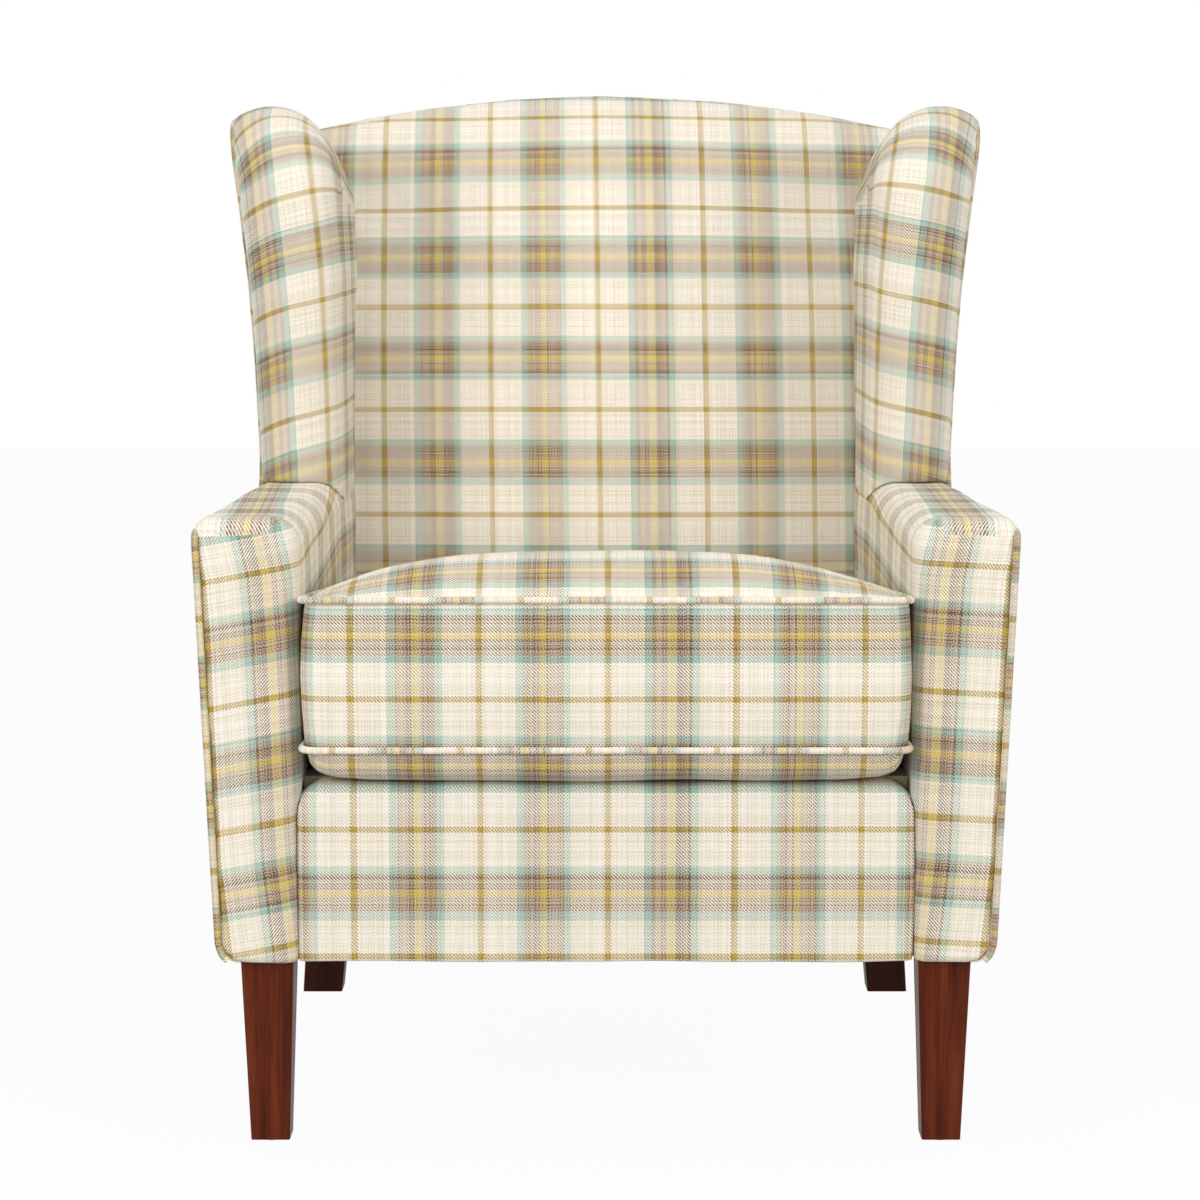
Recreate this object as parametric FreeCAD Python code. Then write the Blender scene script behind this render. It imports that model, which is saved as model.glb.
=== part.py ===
"""Fireside wing chair: hardwood frame, sprung seat, padded and covered arms, wings and back,
a loose box cushion with a zip, and four tapered wooden legs.

Millimetres. X runs across the chair, Y from front to back, Z up from the floor.
The pieces are worked out with Y = 0 at the front of the arms, then moved so that
the origin lies on the floor under the middle of the chair.
The +X side is modelled; the -X side is its mirror image.
"""
import FreeCAD, Part
import math
import os

V = FreeCAD.Vector

# Outer shape
frame_bottom = 173.0        # underside of the seat frame above the floor
seat_half_width = 281.0     # half width between the inside arms at the front
arm_width = 73.0            # across each arm at the underside
foot_half_width = seat_half_width + arm_width
side_lean = 0.044           # outward lean of the sides, run per unit of height
side_toe_in = 0.040         # how fast the outer faces close towards the back
flare_start = 690.0         # height where the wings begin to flare outwards
flare_radius = 2080.0       # radius of that flare
bottom_corner = 18.0        # radius of the outer bottom corner of the arms
inner_toe_in = 0.018        # how fast the inside arms close towards the back

# Cloth, card and gaps
cover = 1.5                 # upholstery cloth with its wadding
liner = 2.5                 # card behind the outside covers
gap = 0.3                   # clearance between pieces that move apart
welt_radius = 3.2           # covered piping cord
welt_out = 0.8              # how far the cord's middle stands out of the cushion's seam
side_welt_out = welt_radius - cover     # in the sides' seams, where it is squeezed into the covers

# Arms
arm_top = 583.0
arm_foam = 14.0             # foam on the inside of the arm
arm_top_foam = 15.0
arm_front_foam = 12.0
arm_roll = 27.0             # radius of the soft inner top edge
arm_shoulder = 12.0         # radius of the outer top edge
arm_front_roll = 20.0       # how far the soft inner front edge reaches back
arm_board = 3.0             # board that carries the inside arm foam
arm_rail_height = 18.0
arm_timber_width = 90.0     # before it is trimmed to the side

# Wings
back_top = 990.0            # crown of the back at the middle
wing_inner = seat_half_width - 9.5      # half width between the wings
wing_front = 411.0          # depth of the foremost line of the wing
wing_welt = 455.0           # depth of the piping on the wing's outer edge
wing_nose = wing_inner + 46.5           # half width of the foremost line of the wing
wing_crown = 36.0           # how far the wing's highest line lies inside its outer face
wing_corner = 100.0         # radius of the wing's top front corner, seen from the side
wing_shed = 15.0            # fall from the wing's highest line to its outer edge
wing_top = back_top - 19.0  # highest point of the wing
wing_round_start = wing_top - 171.0     # height where the wing's top begins to round
wing_round_in = 3.5         # how far it has drawn in at the middle of the corner
wing_top_slope = 0.115      # fall of the wing's top towards the back
wing_board = 18.0
wing_run = 260.0            # from the corner back to where its piping ends

# Back
crest_radius = 1450.0       # curve of the top edge
back_bulge = 10.0           # how far the middle of the back swells forward
back_crest = 35.275         # from the outside back forward to the back's highest line
back_overhang = 66.0        # how far the uncut back reaches past the arms' feet
back_kink = 340.0           # height where the outside back starts to lean
back_foot_y = 660.0         # depth of the outside back below that height
back_rake = 0.2035          # lean of the outside back above it
post_depth = 50.0
post_width = 45.0
crest_rail_thickness = 24.0
crest_rail_height = 62.0
crest_foam = 14.0           # padding over the crest rail
back_rail_height = 45.0

# Seat frame
rail_thickness = 25.0
rail_bottom_gap = 5.0       # rails stop above the underside
rail_top = 318.0
front_post_depth = 45.0
border_y = 4.0              # front face of the border behind the front of the arms
border_corner = 28.0
border_edge = 14.0          # soft top edge of the border
brace_size = 105.0
brace_height = 30.0

# Seat suspension and deck
deck_foam = 12.0
deck_lining = 1.2
insulator = 3.0
spring_count = 5
spring_spacing = (seat_half_width - 31.0) / 2.5
spring_wire = 1.8           # radius
spring_loop = 24.0          # half width of a spring's loops
spring_pitch = 30.0
clip_thickness = 1.6

# Loose cushion
cushion_front = -18.0
cushion_rear = 546.0
cushion_half_width = seat_half_width - 6.0
cushion_rear_half_width = seat_half_width - 18.0
cushion_corner = 22.0
boxing_height = 137.0
boxing_bulge = 4.0
top_crown = 19.5            # rise of the top panel above its piping
bottom_crown = 31.7         # fall of the bottom panel below its piping
cushion_bottom = 340.0      # lowest point of the cushion
crown_reach = 150.0         # distance from the edge to the flat of the crown
crown_power = 2.2
dust_thickness = 0.8

# Zip in the rear of the cushion's boxing
zip_length = 420.0
zip_tape = 26.0
zip_thickness = 1.2
zip_chain = 5.0
zip_chain_depth = 1.4
slider_length = 12.0
slider_width = 9.0
slider_wall = 1.2

# Legs
leg_x = foot_half_width - 41.0
front_leg_y = 36.5
front_leg_top = 49.0
front_leg_foot = 36.0
rear_leg_top_x = leg_x - 14.0
rear_leg_top_y = 621.0
rear_leg_y = 628.0
rear_leg_top = 48.0
rear_leg_foot = 43.0
leg_edge = 2.5              # rounding of the legs' long edges
glide_radius = 10.0
glide_height = 2.5
bolt_radius = 4.0
bolt_in_leg = 32.0
bolt_in_post = 26.0
insert_radius = 6.0
insert_height = 14.0

# Back webbing
web_count = 4
web_width = 50.0
web_thickness = 1.5

far = 700.0                 # a length well outside the chair, for cutting tools
sky = back_top + 110.0      # a height above the chair, likewise


# Curves of the outer shape

deck_top = cushion_bottom - gap                 # top of the deck lining, on which the cushion rests
timber_inner = cover + arm_foam + arm_board     # from the inside arm cover to the arm's timber
timber_y = cover + arm_front_foam               # from the front of the arm to its timber
arm_rail_top = arm_top - cover - arm_top_foam
deck_front = timber_y + rail_thickness + 8.0
deck_rear = back_foot_y - cover - liner - post_depth


def side_x(y, z):
    """Half width of the chair's outer face at depth y and height z: straight, then flaring on an arc."""
    foot = foot_half_width - side_toe_in * y
    if z <= flare_start:
        return foot + side_lean * (z - frame_bottom)
    tilt = math.atan(side_lean)
    rise = z - flare_start + flare_radius * math.sin(tilt)
    start = foot + side_lean * (flare_start - frame_bottom)
    return start + flare_radius * math.cos(tilt) - math.sqrt(flare_radius ** 2 - rise ** 2)


def corner_in(z):
    """How far the rounded bottom corner draws the outer face in at height z."""
    below = max(0.0, frame_bottom + bottom_corner - z)
    return bottom_corner - math.sqrt(bottom_corner ** 2 - below ** 2)


def inner_x(y):
    """Half width between the inside arm covers at depth y."""
    return seat_half_width - inner_toe_in * y


def back_outer(z):
    """Depth of the outside back at height z."""
    return back_foot_y + back_rake * max(0.0, z - back_kink)


def crest_drop(x):
    """How far the back's top edge has fallen at x from the middle."""
    return crest_radius - math.sqrt(crest_radius ** 2 - x ** 2)


def rounded(share, power):
    """Height of a superellipse, 0 to 1, at a share of its reach."""
    return (1.0 - (1.0 - min(1.0, share)) ** power) ** (1.0 / power)


# Building blocks

def at_x(x):
    return lambda p: V(x, p[0], p[1])


def at_y(y):
    return lambda p: V(p[0], y, p[1])


def at_z(z):
    return lambda p: V(p[0], p[1], z)


def outline(place, start, *steps):
    """Closed wire through 2-D points. A step is an end point, or (middle, end) for an arc."""
    edges = []
    here = start
    for step in steps:
        if isinstance(step[0], tuple):
            middle, end = step
            edges.append(Part.Arc(place(here), place(middle), place(end)).toShape())
        else:
            end = step
            edges.append(Part.LineSegment(place(here), place(end)).toShape())
        here = end
    if place(here).distanceToPoint(place(start)) > 1e-6:
        edges.append(Part.LineSegment(place(here), place(start)).toShape())
    return Part.Wire(edges)


def prism(wire, along):
    return Part.Face(wire).extrude(along)


def loft(wires):
    return Part.makeLoft(wires, True, True)


def box(x0, x1, y0, y1, z0, z1):
    return Part.makeBox(x1 - x0, y1 - y0, z1 - z0, V(x0, y0, z0))


def mirrored(shape):
    return shape.mirror(V(0, 0, 0), V(1, 0, 0))


def both(shape):
    return Part.makeCompound([shape, mirrored(shape)])


def tangent_path(points, reach_limit=far, closed=False):
    """Straight runs joined by tangent arcs, each as large as its runs and the limit allow."""
    count = len(points)
    ends = {}
    for i in range(count) if closed else range(1, count - 1):
        before, here, after = points[i - 1], points[i], points[(i + 1) % count]
        into, out = here - before, after - here
        reach = min(reach_limit, 0.45 * min(into.Length, out.Length))
        into, out = into.normalize(), out.normalize()
        turn = into.getAngle(out)
        if turn < 0.001:
            continue
        first, last = here - into * reach, here + out * reach
        chord = (first + last) * 0.5
        middle = chord + (here - chord).normalize() * (reach * math.cos(turn / 2.0) * math.tan(turn / 4.0))
        ends[i] = (first, middle, last)
    edges = []
    for i in range(count if closed else count - 1):
        j = (i + 1) % count
        start = ends[i][2] if i in ends else points[i]
        stop = ends[j][0] if j in ends else points[j]
        edges.append(Part.LineSegment(start, stop).toShape())
        if j in ends:
            edges.append(Part.Arc(*ends[j]).toShape())
    return Part.Wire(edges)


def tube(path, radius):
    """Round solid of the given radius along a smooth path."""
    edge = path.Edges[0]
    start = edge.valueAt(edge.FirstParameter)
    along = edge.tangentAt(edge.FirstParameter)
    ring = Part.Wire([Part.Circle(start, along, radius).toShape()])
    return path.makePipeShell([ring], True, False)


# Cutting tools that trim pieces to the outer shape

def side_region(inset, thickness=None):
    """Solid outwards from the side's outer face, moved in by inset: a strip, or all that lies outside."""
    y0, y1, z1 = -100.0, 1000.0, sky
    corner_z = frame_bottom + bottom_corner
    corner_x = side_x(y0, corner_z) - bottom_corner
    flare_middle = (flare_start + z1) / 2.0
    c = math.sqrt(0.5)

    def edge(z, i):
        return (side_x(y0, z) - i, z)

    def foot(i):
        if i < bottom_corner - 1.0:
            return (corner_x, corner_z - (bottom_corner - i))
        return (side_x(y0, frame_bottom) - i, frame_bottom)

    def corner(i, up):
        r = bottom_corner - i
        middle, top = (corner_x + r * c, corner_z - r * c), (corner_x + r, corner_z)
        if i < bottom_corner - 1.0:
            return [(middle, top)] if up else [top, (middle, foot(i))]
        return [top] if up else [top, foot(i)]

    steps = corner(inset, True)
    steps += [edge(flare_start, inset), (edge(flare_middle, inset), edge(z1, inset))]
    if thickness:
        outer = inset - thickness
        steps += [edge(z1, outer), (edge(flare_middle, outer), edge(flare_start, outer))] + corner(outer, False)
        start = foot(inset)
    else:
        steps += [(2 * far, z1), (2 * far, 0.0), (foot(inset)[0], 0.0)]
        start = foot(inset)
    return prism(outline(at_y(y0), start, *steps), V(-side_toe_in * (y1 - y0), y1 - y0, 0.0))


def trim_side(shape, inset):
    """Cuts a shape back to the +X outer face, moved in by inset."""
    return shape.cut(side_region(inset))


def trim_sides(shape, inset):
    tool = side_region(inset)
    return shape.cut(Part.makeCompound([tool, mirrored(tool)]))


# Arms

def arm_section(y, inner, top, welt_in):
    """Arm seen from the front at depth y, over-wide on its outer side."""
    xi = inner_x(y) + inner
    zt = arm_top - top
    roll = arm_roll
    c = 1.0 - math.sqrt(0.5)
    sx = side_x(y, arm_top - arm_shoulder) - welt_in
    centre = sx + 2.0 - arm_shoulder
    return outline(
        at_y(y), (xi, frame_bottom), (xi, zt - roll),
        ((xi + roll * c, zt - roll * c), (xi + roll, zt)),
        (centre, zt),
        ((centre + arm_shoulder * (1 - c), zt - arm_shoulder * c), (centre + arm_shoulder, zt - arm_shoulder)),
        (far, zt - arm_shoulder), (far, frame_bottom))


def arm_form(inset, rear=800.0):
    """Outer shape of the arm, moved in by inset, with its soft front edges."""
    sections = []
    for share in (0.0, 0.12, 0.35, 0.7, 1.0):
        soft = arm_front_roll * (1.0 - rounded(share, 2.0))
        y = inset + arm_front_roll * share
        sections.append(arm_section(y, inset + soft, inset + soft * 0.6, inset))
    sections.append(arm_section(rear, inset, inset, inset))
    return loft(sections)


def arm_hollow(rear=800.0):
    """Space inside the arm's foam, which holds the board, the post and the rail."""
    y0 = cover + arm_front_foam
    inner = cover + arm_foam
    top = arm_top - cover - arm_top_foam

    def section(y):
        x = inner_x(y)
        return outline(at_y(y), (x + cover, frame_bottom - 5.0), (x + cover, deck_top), (x + inner, deck_top),
                       (x + inner, top), (far, top), (far, frame_bottom - 5.0))

    return loft([section(y0), section(rear)])


def bar(y0, y1, inner, width, z0, z1):
    """Timber that follows the inside arm line: its inner face lies at inner, its width across X."""
    plan = outline(at_z(z0), (inner_x(y0) + inner, y0), (inner_x(y1) + inner, y1),
                   (inner_x(y1) + inner + width, y1), (inner_x(y0) + inner + width, y0))
    return prism(plan, V(0, 0, z1 - z0))


def front_post():
    blank = bar(timber_y, timber_y + front_post_depth, timber_inner, arm_timber_width,
                frame_bottom, arm_rail_top - arm_rail_height)
    return trim_side(blank, cover + liner)


def post_face(z):
    """Depth of the front of the back post at height z."""
    return back_outer(z) - cover - liner - post_depth


def back_post():
    """Rear upright, from the underside to the crest rail, leaning with the outside back."""
    top = crest_rail_bottom(0.0) - 10.0

    def section(z):
        y0, y1 = post_face(z), back_outer(z) - cover - liner
        out = cover + liner
        return outline(at_z(z), (side_x(y0, z), y0), (side_x(y1, z), y1),
                       (side_x(y1, z) - out - post_width, y1), (side_x(y0, z) - out - post_width, y0))

    levels = [frame_bottom, back_kink, flare_start, (flare_start + top) / 2.0, top]
    return trim_side(loft([section(z) for z in levels]), cover + liner)


def arm_rail():
    """Flat rail along the top of the arm, from the front to the back post."""
    z1 = arm_rail_top
    z0 = z1 - arm_rail_height
    return trim_side(bar(timber_y, post_face(z0), timber_inner, arm_timber_width, z0, z1), cover + liner)


def arm_board_blank():
    z0, z1 = deck_top, arm_rail_top
    return bar(timber_y, post_face(z0), cover + arm_foam, arm_board, z0, z1)


# Wings

wing_axis_y = wing_front + wing_corner      # the top front corner turns about this line
wing_axis_z = wing_top - wing_corner
wing_wide = side_x(wing_axis_y, wing_top)
wing_hub = 16.0                             # plain round core of the corner, about that line


def front_profile(z, inset):
    """Points (x, reach towards the front) round the wing's front roll at height z."""
    high = wing_corner - inset
    draw = wing_round_in * max(0.0, z - wing_round_start) / (wing_axis_z - wing_round_start)
    xi = wing_inner + inset + draw
    welt_x = side_x(wing_welt, z) + 1.0
    welt_reach = wing_axis_y - wing_welt - inset
    c = math.sqrt(0.5)
    return ((xi, wing_hub), (xi - 0.4, (wing_hub + welt_reach) * 0.5), (xi, welt_reach),
            (wing_nose - (wing_nose - xi) * c, welt_reach + (high - welt_reach) * c), (wing_nose, high),
            (wing_nose + (welt_x - wing_nose) * c, welt_reach + (high - welt_reach) * c), (welt_x, welt_reach))


def top_profile(inset):
    """Points (x, reach upwards) over the wing's top, behind the corner."""
    high = wing_corner - inset
    xi = wing_inner + inset + wing_round_in
    crown_x = wing_wide - wing_crown
    run, edge_x = crown_x - xi, wing_wide + 1.0
    return ((xi, wing_hub), (xi + run * 0.045, high * 0.3), (xi + run * 0.125, high * 0.44),
            (xi + run * 0.44, high * 0.86), (crown_x, high),
            (crown_x + (edge_x - crown_x) * 0.55, high - wing_shed * 0.27), (edge_x, high - wing_shed))


def profile_wire(place, points, base):
    """Closed section from profile points: three arcs, then out past the side and back at the base."""
    far_x = wing_wide + 60.0
    closing = [(far_x, points[6][1]), (far_x, base)]
    if base < wing_hub:
        closing.append((points[0][0], base))
    return outline(place, points[0], (points[1], points[2]), (points[3], points[4]), (points[5], points[6]), *closing)


def turned_section(inset, share):
    """Section of the corner part, turned from lying (share 0) to upright (share 1)."""
    low, high = front_profile(wing_axis_z, inset), top_profile(inset)
    blend = share * share * (3.0 - 2.0 * share)
    points = [(a[0] + (b[0] - a[0]) * blend, a[1] + (b[1] - a[1]) * blend) for a, b in zip(low, high)]
    turn = share * math.pi / 2.0

    def place(p):
        return V(p[0], wing_axis_y - p[1] * math.cos(turn), wing_axis_z + p[1] * math.sin(turn))

    return profile_wire(place, points, wing_hub)


def upright_section(y, inset):
    """Section of the wing behind its corner, from the arm to its sloping top."""
    points = top_profile(inset)
    drop = wing_top_slope * (y - wing_axis_y)
    foot = arm_top - arm_shoulder - 8.0
    far_x = wing_wide + 60.0
    up = [(p[0], wing_axis_z + p[1] - drop) for p in points]
    return outline(at_y(y), (wing_inner + inset, foot), (wing_inner + inset, wing_round_start),
                   (up[0][0], wing_axis_z - drop), up[0], (up[1], up[2]), (up[3], up[4]), (up[5], up[6]), (far_x, up[6][1]), (far_x, foot))


def wing_form(inset):
    """Outer shape of the wing, moved in by inset: front roll, turned corner, and top running back."""
    foot = arm_top - arm_shoulder - 8.0

    def lying(z):
        return profile_wire(lambda p: V(p[0], wing_axis_y - p[1], z), front_profile(z, inset), 0.0)

    front = loft([lying(foot), lying(flare_start), lying(wing_round_start), lying(wing_axis_z)])
    corner = loft([turned_section(inset, i / 6.0) for i in range(7)])
    top = loft([upright_section(wing_axis_y, inset), upright_section(900.0, inset)])
    xi = wing_inner + inset + wing_round_in
    hub = Part.makeCylinder(wing_hub, wing_wide + 60.0 - xi, V(xi, wing_axis_y, wing_axis_z), V(1, 0, 0))
    return front.fuse([corner, top, hub]).removeSplitter()


def welt_point(share):
    """Depth and height of the piping round the wing's corner."""
    low = wing_axis_y - wing_welt
    high = wing_corner - wing_shed
    blend = share * share * (3.0 - 2.0 * share)
    reach = low + (high - low) * blend
    turn = share * math.pi / 2.0
    return wing_axis_y - reach * math.cos(turn), wing_axis_z + reach * math.sin(turn)


def wing_board_blank():
    """Board that stiffens the wing, standing on the arm rail and reaching the back post."""
    out = cover + liner
    inset = out + 4.0
    strip = side_region(out + wing_board, wing_board)
    blank = strip.common(wing_form(inset)).cut(behind_back(out + post_depth))
    return blank.cut(box(0.0, far, 0.0, 900.0, 0.0, arm_rail_top)).cut(box(0.0, far, 0.0, wing_welt + 6.0, 0.0, 1000.0))


def behind_back(inset):
    """Everything behind the outside back, moved in by inset."""
    wire = outline(at_x(-far), (back_outer(0.0) - inset, 0.0), (back_outer(back_kink) - inset, back_kink),
                   (back_outer(sky) - inset, sky), (2 * far, sky), (2 * far, 0.0))
    return prism(wire, V(2 * far, 0, 0))


# Back

def back_section(x, inset):
    """Back seen from the side at x, behind the soft front face, before its rear is cut off."""
    swell = back_bulge * max(0.0, 1.0 - (x / wing_inner) ** 2)
    drop = crest_drop(x)
    i = inset

    def p(y, z, fall=0.0):
        return (y + back_bulge - swell, z - drop * fall)

    top = back_top - i
    crest_y = back_outer(back_top) - back_crest
    return outline(
        at_x(x), p(567.0 + i, deck_top), (p(573.0 + i, 460.0), p(587.0 + i, 590.0)),
        (p(621.0 + i, 750.0, 0.35), p(crest_y - 69.0 + i * 0.9, back_top - 75.0 - i * 0.4, 1.0)),
        (p(crest_y - 44.0 + i * 0.7, back_top - 27.0 - i * 0.7, 1.0), p(crest_y, top, 1.0)),
        (900.0, top - drop), (900.0, deck_top))


def back_form(inset):
    """Outer shape of the back: a leaning slab across the whole width with a curved crest."""
    half = foot_half_width + back_overhang
    count = 8
    wires = [back_section(-half + 2 * half * i / count, inset) for i in range(count + 1)]
    return loft(wires)


def crest_rail_top(x):
    return back_top - crest_foam - crest_drop(x)


def crest_rail_bottom(x):
    return crest_rail_top(x) - crest_rail_height


def lean_slab(front, rear, z0, z1):
    """Slab that leans with the outside back, between two depths measured in from it."""
    wire = outline(at_x(-far), (back_outer(z0) - front, z0), (back_outer(z0) - rear, z0),
                   (back_outer(z1) - rear, z1), (back_outer(z1) - front, z1))
    return prism(wire, V(2 * far, 0, 0))


def crest_rail():
    """Curved top rail of the back, on the posts."""
    inset = cover + liner
    half = foot_half_width + back_overhang
    z_top = crest_rail_top(0.0)
    wire = outline(at_y(0.0), (-half, z_top - crest_drop(half)), ((0.0, z_top), (half, z_top - crest_drop(half))),
                   (half, z_top - crest_drop(half) - crest_rail_height),
                   ((0.0, z_top - crest_rail_height), (-half, z_top - crest_drop(half) - crest_rail_height)))
    rail = prism(wire, V(0, 1000.0, 0)).common(lean_slab(inset + crest_rail_thickness, inset, flare_start, sky))
    return trim_sides(rail, inset)

def back_rail():
    """Lower rail of the back, between the posts, just above the seat."""
    inset = cover + liner
    z0 = deck_top + 12.0
    rail = lean_slab(inset + rail_thickness, inset, z0, z0 + back_rail_height)
    return rail


def webbing():
    """Bands of webbing across the fronts of the back posts, which carry the back's foam."""
    rear = cover + liner + post_depth
    first = deck_top + 85.0
    step = (crest_rail_bottom(post_reach) - 40.0 - web_width - first) / (web_count - 1)
    bands = []
    for i in range(web_count):
        z0 = first + step * i
        bands.append(lean_slab(rear + web_thickness, rear, z0, z0 + web_width))
    return trim_sides(Part.makeCompound(bands), cover + liner + 8.0)


post_reach = foot_half_width - 24.0     # half width at which the webbing and crest rail meet the posts


# Seat frame and suspension

def front_rail():
    half = inner_x(timber_y) + timber_inner
    return box(-half, half, timber_y, timber_y + rail_thickness, frame_bottom + rail_bottom_gap, rail_top)


def rear_rail(posts):
    y1 = back_foot_y - cover - liner - 20.0
    blank = box(-far / 2, far / 2, y1 - rail_thickness, y1, frame_bottom + rail_bottom_gap, rail_top)
    return largest(blank.cut(posts))


def side_rail():
    strip = side_region(cover + liner + rail_thickness, rail_thickness)
    return strip.common(box(0.0, far, timber_y + front_post_depth, post_face(frame_bottom),
                            frame_bottom + rail_bottom_gap, rail_top))


def corner_braces(obstacles):
    """Triangular blocks glued into the four inner corners of the seat frame."""
    z0 = rail_top - brace_height - 20.0
    front_y = timber_y + rail_thickness
    rear_y = back_foot_y - cover - liner - 20.0 - rail_thickness
    blocks = []
    for y, turn in ((front_y, 1.0), (rear_y, -1.0)):
        x = side_x(y, frame_bottom) - cover - liner - rail_thickness + 5.0
        wire = outline(at_z(z0), (x, y), (x, y + turn * brace_size), (x - brace_size, y))
        blocks.append(prism(wire, V(0, 0, brace_height)))
    blocks = [largest(block.cut(obstacles)) for block in blocks]
    return Part.makeCompound(blocks + [mirrored(block) for block in blocks])


spring_z = rail_top + clip_thickness + spring_wire
spring_y0 = timber_y + rail_thickness / 2.0
spring_y1 = back_foot_y - cover - liner - 20.0 - rail_thickness / 2.0


def seat_springs():
    """Sinuous springs from the front rail to the rear rail, each one unbroken wire."""
    runs = int((spring_y1 - spring_y0) // spring_pitch)
    runs -= runs % 2
    step = (spring_y1 - spring_y0) / runs
    springs = []
    for i in range(spring_count):
        x = spring_spacing * (i - (spring_count - 1) / 2.0)
        points = [V(x - spring_loop, spring_y0, spring_z)]
        for k in range(runs + 1):
            side = spring_loop if k % 2 == 0 else -spring_loop
            y = spring_y0 + step * k
            if k > 0:
                points.append(V(x - side, y, spring_z))
            points.append(V(x + side, y, spring_z))
        springs.append(tube(tangent_path(points), spring_wire))
    print("spring gap between loops", round(step - 2 * spring_wire, 2))
    return Part.makeCompound(springs)


def spring_clips():
    """Steel clips on the rails that hold the ends of the springs."""
    clips = []
    for i in range(spring_count):
        x = spring_spacing * (i - (spring_count - 1) / 2.0)
        for y in (spring_y0, spring_y1):
            low = box(x - 12.0, x + 12.0, y - 9.0, y + 9.0, rail_top, spring_z - spring_wire)
            clips.append(low)
    return Part.makeCompound(clips)


def deck_layer(below, thickness, front):
    """Layer across the seat between the arms: its top lies at below under the deck's top."""
    z1 = deck_top - below
    return box(-far / 2, far / 2, front, deck_rear, z1 - thickness, z1)


# Border under the cushion

def border_section(y, inset, soft):
    top = deck_top - inset - soft
    half = seat_half_width + 1.0
    r = border_corner
    c = 1.0 - math.sqrt(0.5)
    side = half - inset - soft * 0.5
    return outline(
        at_y(y), (-side, frame_bottom), (-side, top - r), ((-side + r * c, top - r * c), (-side + r, top)),
        (side - r, top), ((side - r * c, top - r * c), (side, top - r)), (side, frame_bottom))


def border_form(inset):
    """Padded front of the seat, with a soft top edge."""
    sections = []
    for share in (0.0, 0.12, 0.4, 1.0):
        soft = border_edge * (1.0 - rounded(share, 2.0))
        sections.append(border_section(border_y + inset + border_edge * share, inset, soft))
    sections.append(border_section(deck_front, inset, 0.0))
    return loft(sections)


# Loose cushion

def cushion_section(z, out, corner):
    """Plan of the cushion at height z, grown by out from the line of its piping."""
    xf, xr = cushion_half_width + out, cushion_rear_half_width + out
    y0, y1 = cushion_front - out, cushion_rear + out
    corners = [V(-xf, y0, z), V(xf, y0, z), V(xr, y1, z), V(-xr, y1, z)]
    return tangent_path(corners, corner, True)


cushion_low = cushion_bottom + bottom_crown
cushion_high = cushion_low + boxing_height
crown_shares = (0.0, 0.03, 0.1, 0.22, 0.42, 0.68, 1.0)
boxing_shares = (0.0, 0.25, 0.5, 0.75, 1.0)


def crown_part(z, crown, sign, inset):
    """Domed panel of the cushion as a solid on its flat base at height z."""
    sections = []
    for share in crown_shares:
        reach = crown_reach * share
        rise = (crown - inset) * rounded(share, crown_power)
        sections.append(cushion_section(z + sign * rise, -inset - reach, cushion_corner + 0.35 * reach))
    return loft(sections)


def boxing_part(inset):
    sections = []
    for share in boxing_shares:
        out = boxing_bulge * (1.0 - (2.0 * share - 1.0) ** 2)
        sections.append(cushion_section(cushion_low + boxing_height * share, out - inset, cushion_corner))
    return loft(sections)


def cushion_piping(z):
    return tube(cushion_section(z, welt_out, cushion_corner), welt_radius)


zip_z = (cushion_low + cushion_high) / 2.0
zip_face = cushion_rear + boxing_bulge


def zip_parts():
    """Tape let into the rear of the boxing, its chain of teeth and the slider."""
    tape = box(-zip_length / 2, zip_length / 2, zip_face - zip_thickness, zip_face, zip_z - zip_tape / 2, zip_z + zip_tape / 2)
    pocket = box(-zip_length / 2, zip_length / 2, zip_face - zip_thickness, zip_face + 5.0,
                 zip_z - zip_tape / 2, zip_z + zip_tape / 2)
    half = zip_length / 2 - 6.0
    chain = box(-half, half, zip_face, zip_face + zip_chain_depth, zip_z - zip_chain / 2, zip_z + zip_chain / 2)
    x0 = -half + 1.0
    depth0 = zip_face + zip_chain_depth + gap
    front = box(x0, x0 + slider_length, depth0, depth0 + slider_wall, zip_z - slider_width / 2, zip_z + slider_width / 2)
    walls = []
    for sign in (-1.0, 1.0):
        near = sign * (zip_chain / 2 + gap)
        far_side = sign * slider_width / 2
        walls.append(box(x0, x0 + slider_length, zip_face + gap, depth0,
                         zip_z + min(near, far_side), zip_z + max(near, far_side)))
    bridge = box(x0 + 3.0, x0 + 9.0, depth0 + slider_wall, depth0 + slider_wall + 1.6, zip_z - 1.2, zip_z + 1.2)
    pull = box(x0 + 7.0, x0 + 27.0, depth0 + slider_wall + 1.6, depth0 + slider_wall + 2.8, zip_z - 3.0, zip_z + 3.0)
    slider = front.fuse(walls + [bridge, pull]).removeSplitter()
    return tape, pocket, chain, slider


# Piping along the outer edges of the sides and the top of the back

def side_piping():
    """Piping up the front of the arm, back along it, up the wing and back along its top."""
    def on_side(y, z):
        return V(side_x(y, z) - corner_in(z) + side_welt_out, y, z)

    y_front = -side_welt_out
    z_arm = arm_top - arm_shoulder + 0.5
    top = wing_top - wing_shed
    rear = back_outer(top - wing_top_slope * wing_run) - 6.0
    points = [on_side(y_front, frame_bottom + 3.0), on_side(y_front, frame_bottom + 8.0),
              on_side(y_front, frame_bottom + bottom_corner), on_side(y_front, z_arm),
              on_side(230.0, z_arm), on_side(wing_welt - 22.0, z_arm), on_side(wing_welt, z_arm + 40.0),
              on_side(wing_welt, flare_start + 20.0), on_side(wing_welt, wing_round_start - 10.0)]
    points += [on_side(*welt_point(i / 6.0)) for i in range(7)]
    points.append(on_side(rear, top - wing_top_slope * (rear - wing_axis_y)))
    return tube(tangent_path(points, 9.0), welt_radius)


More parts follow.
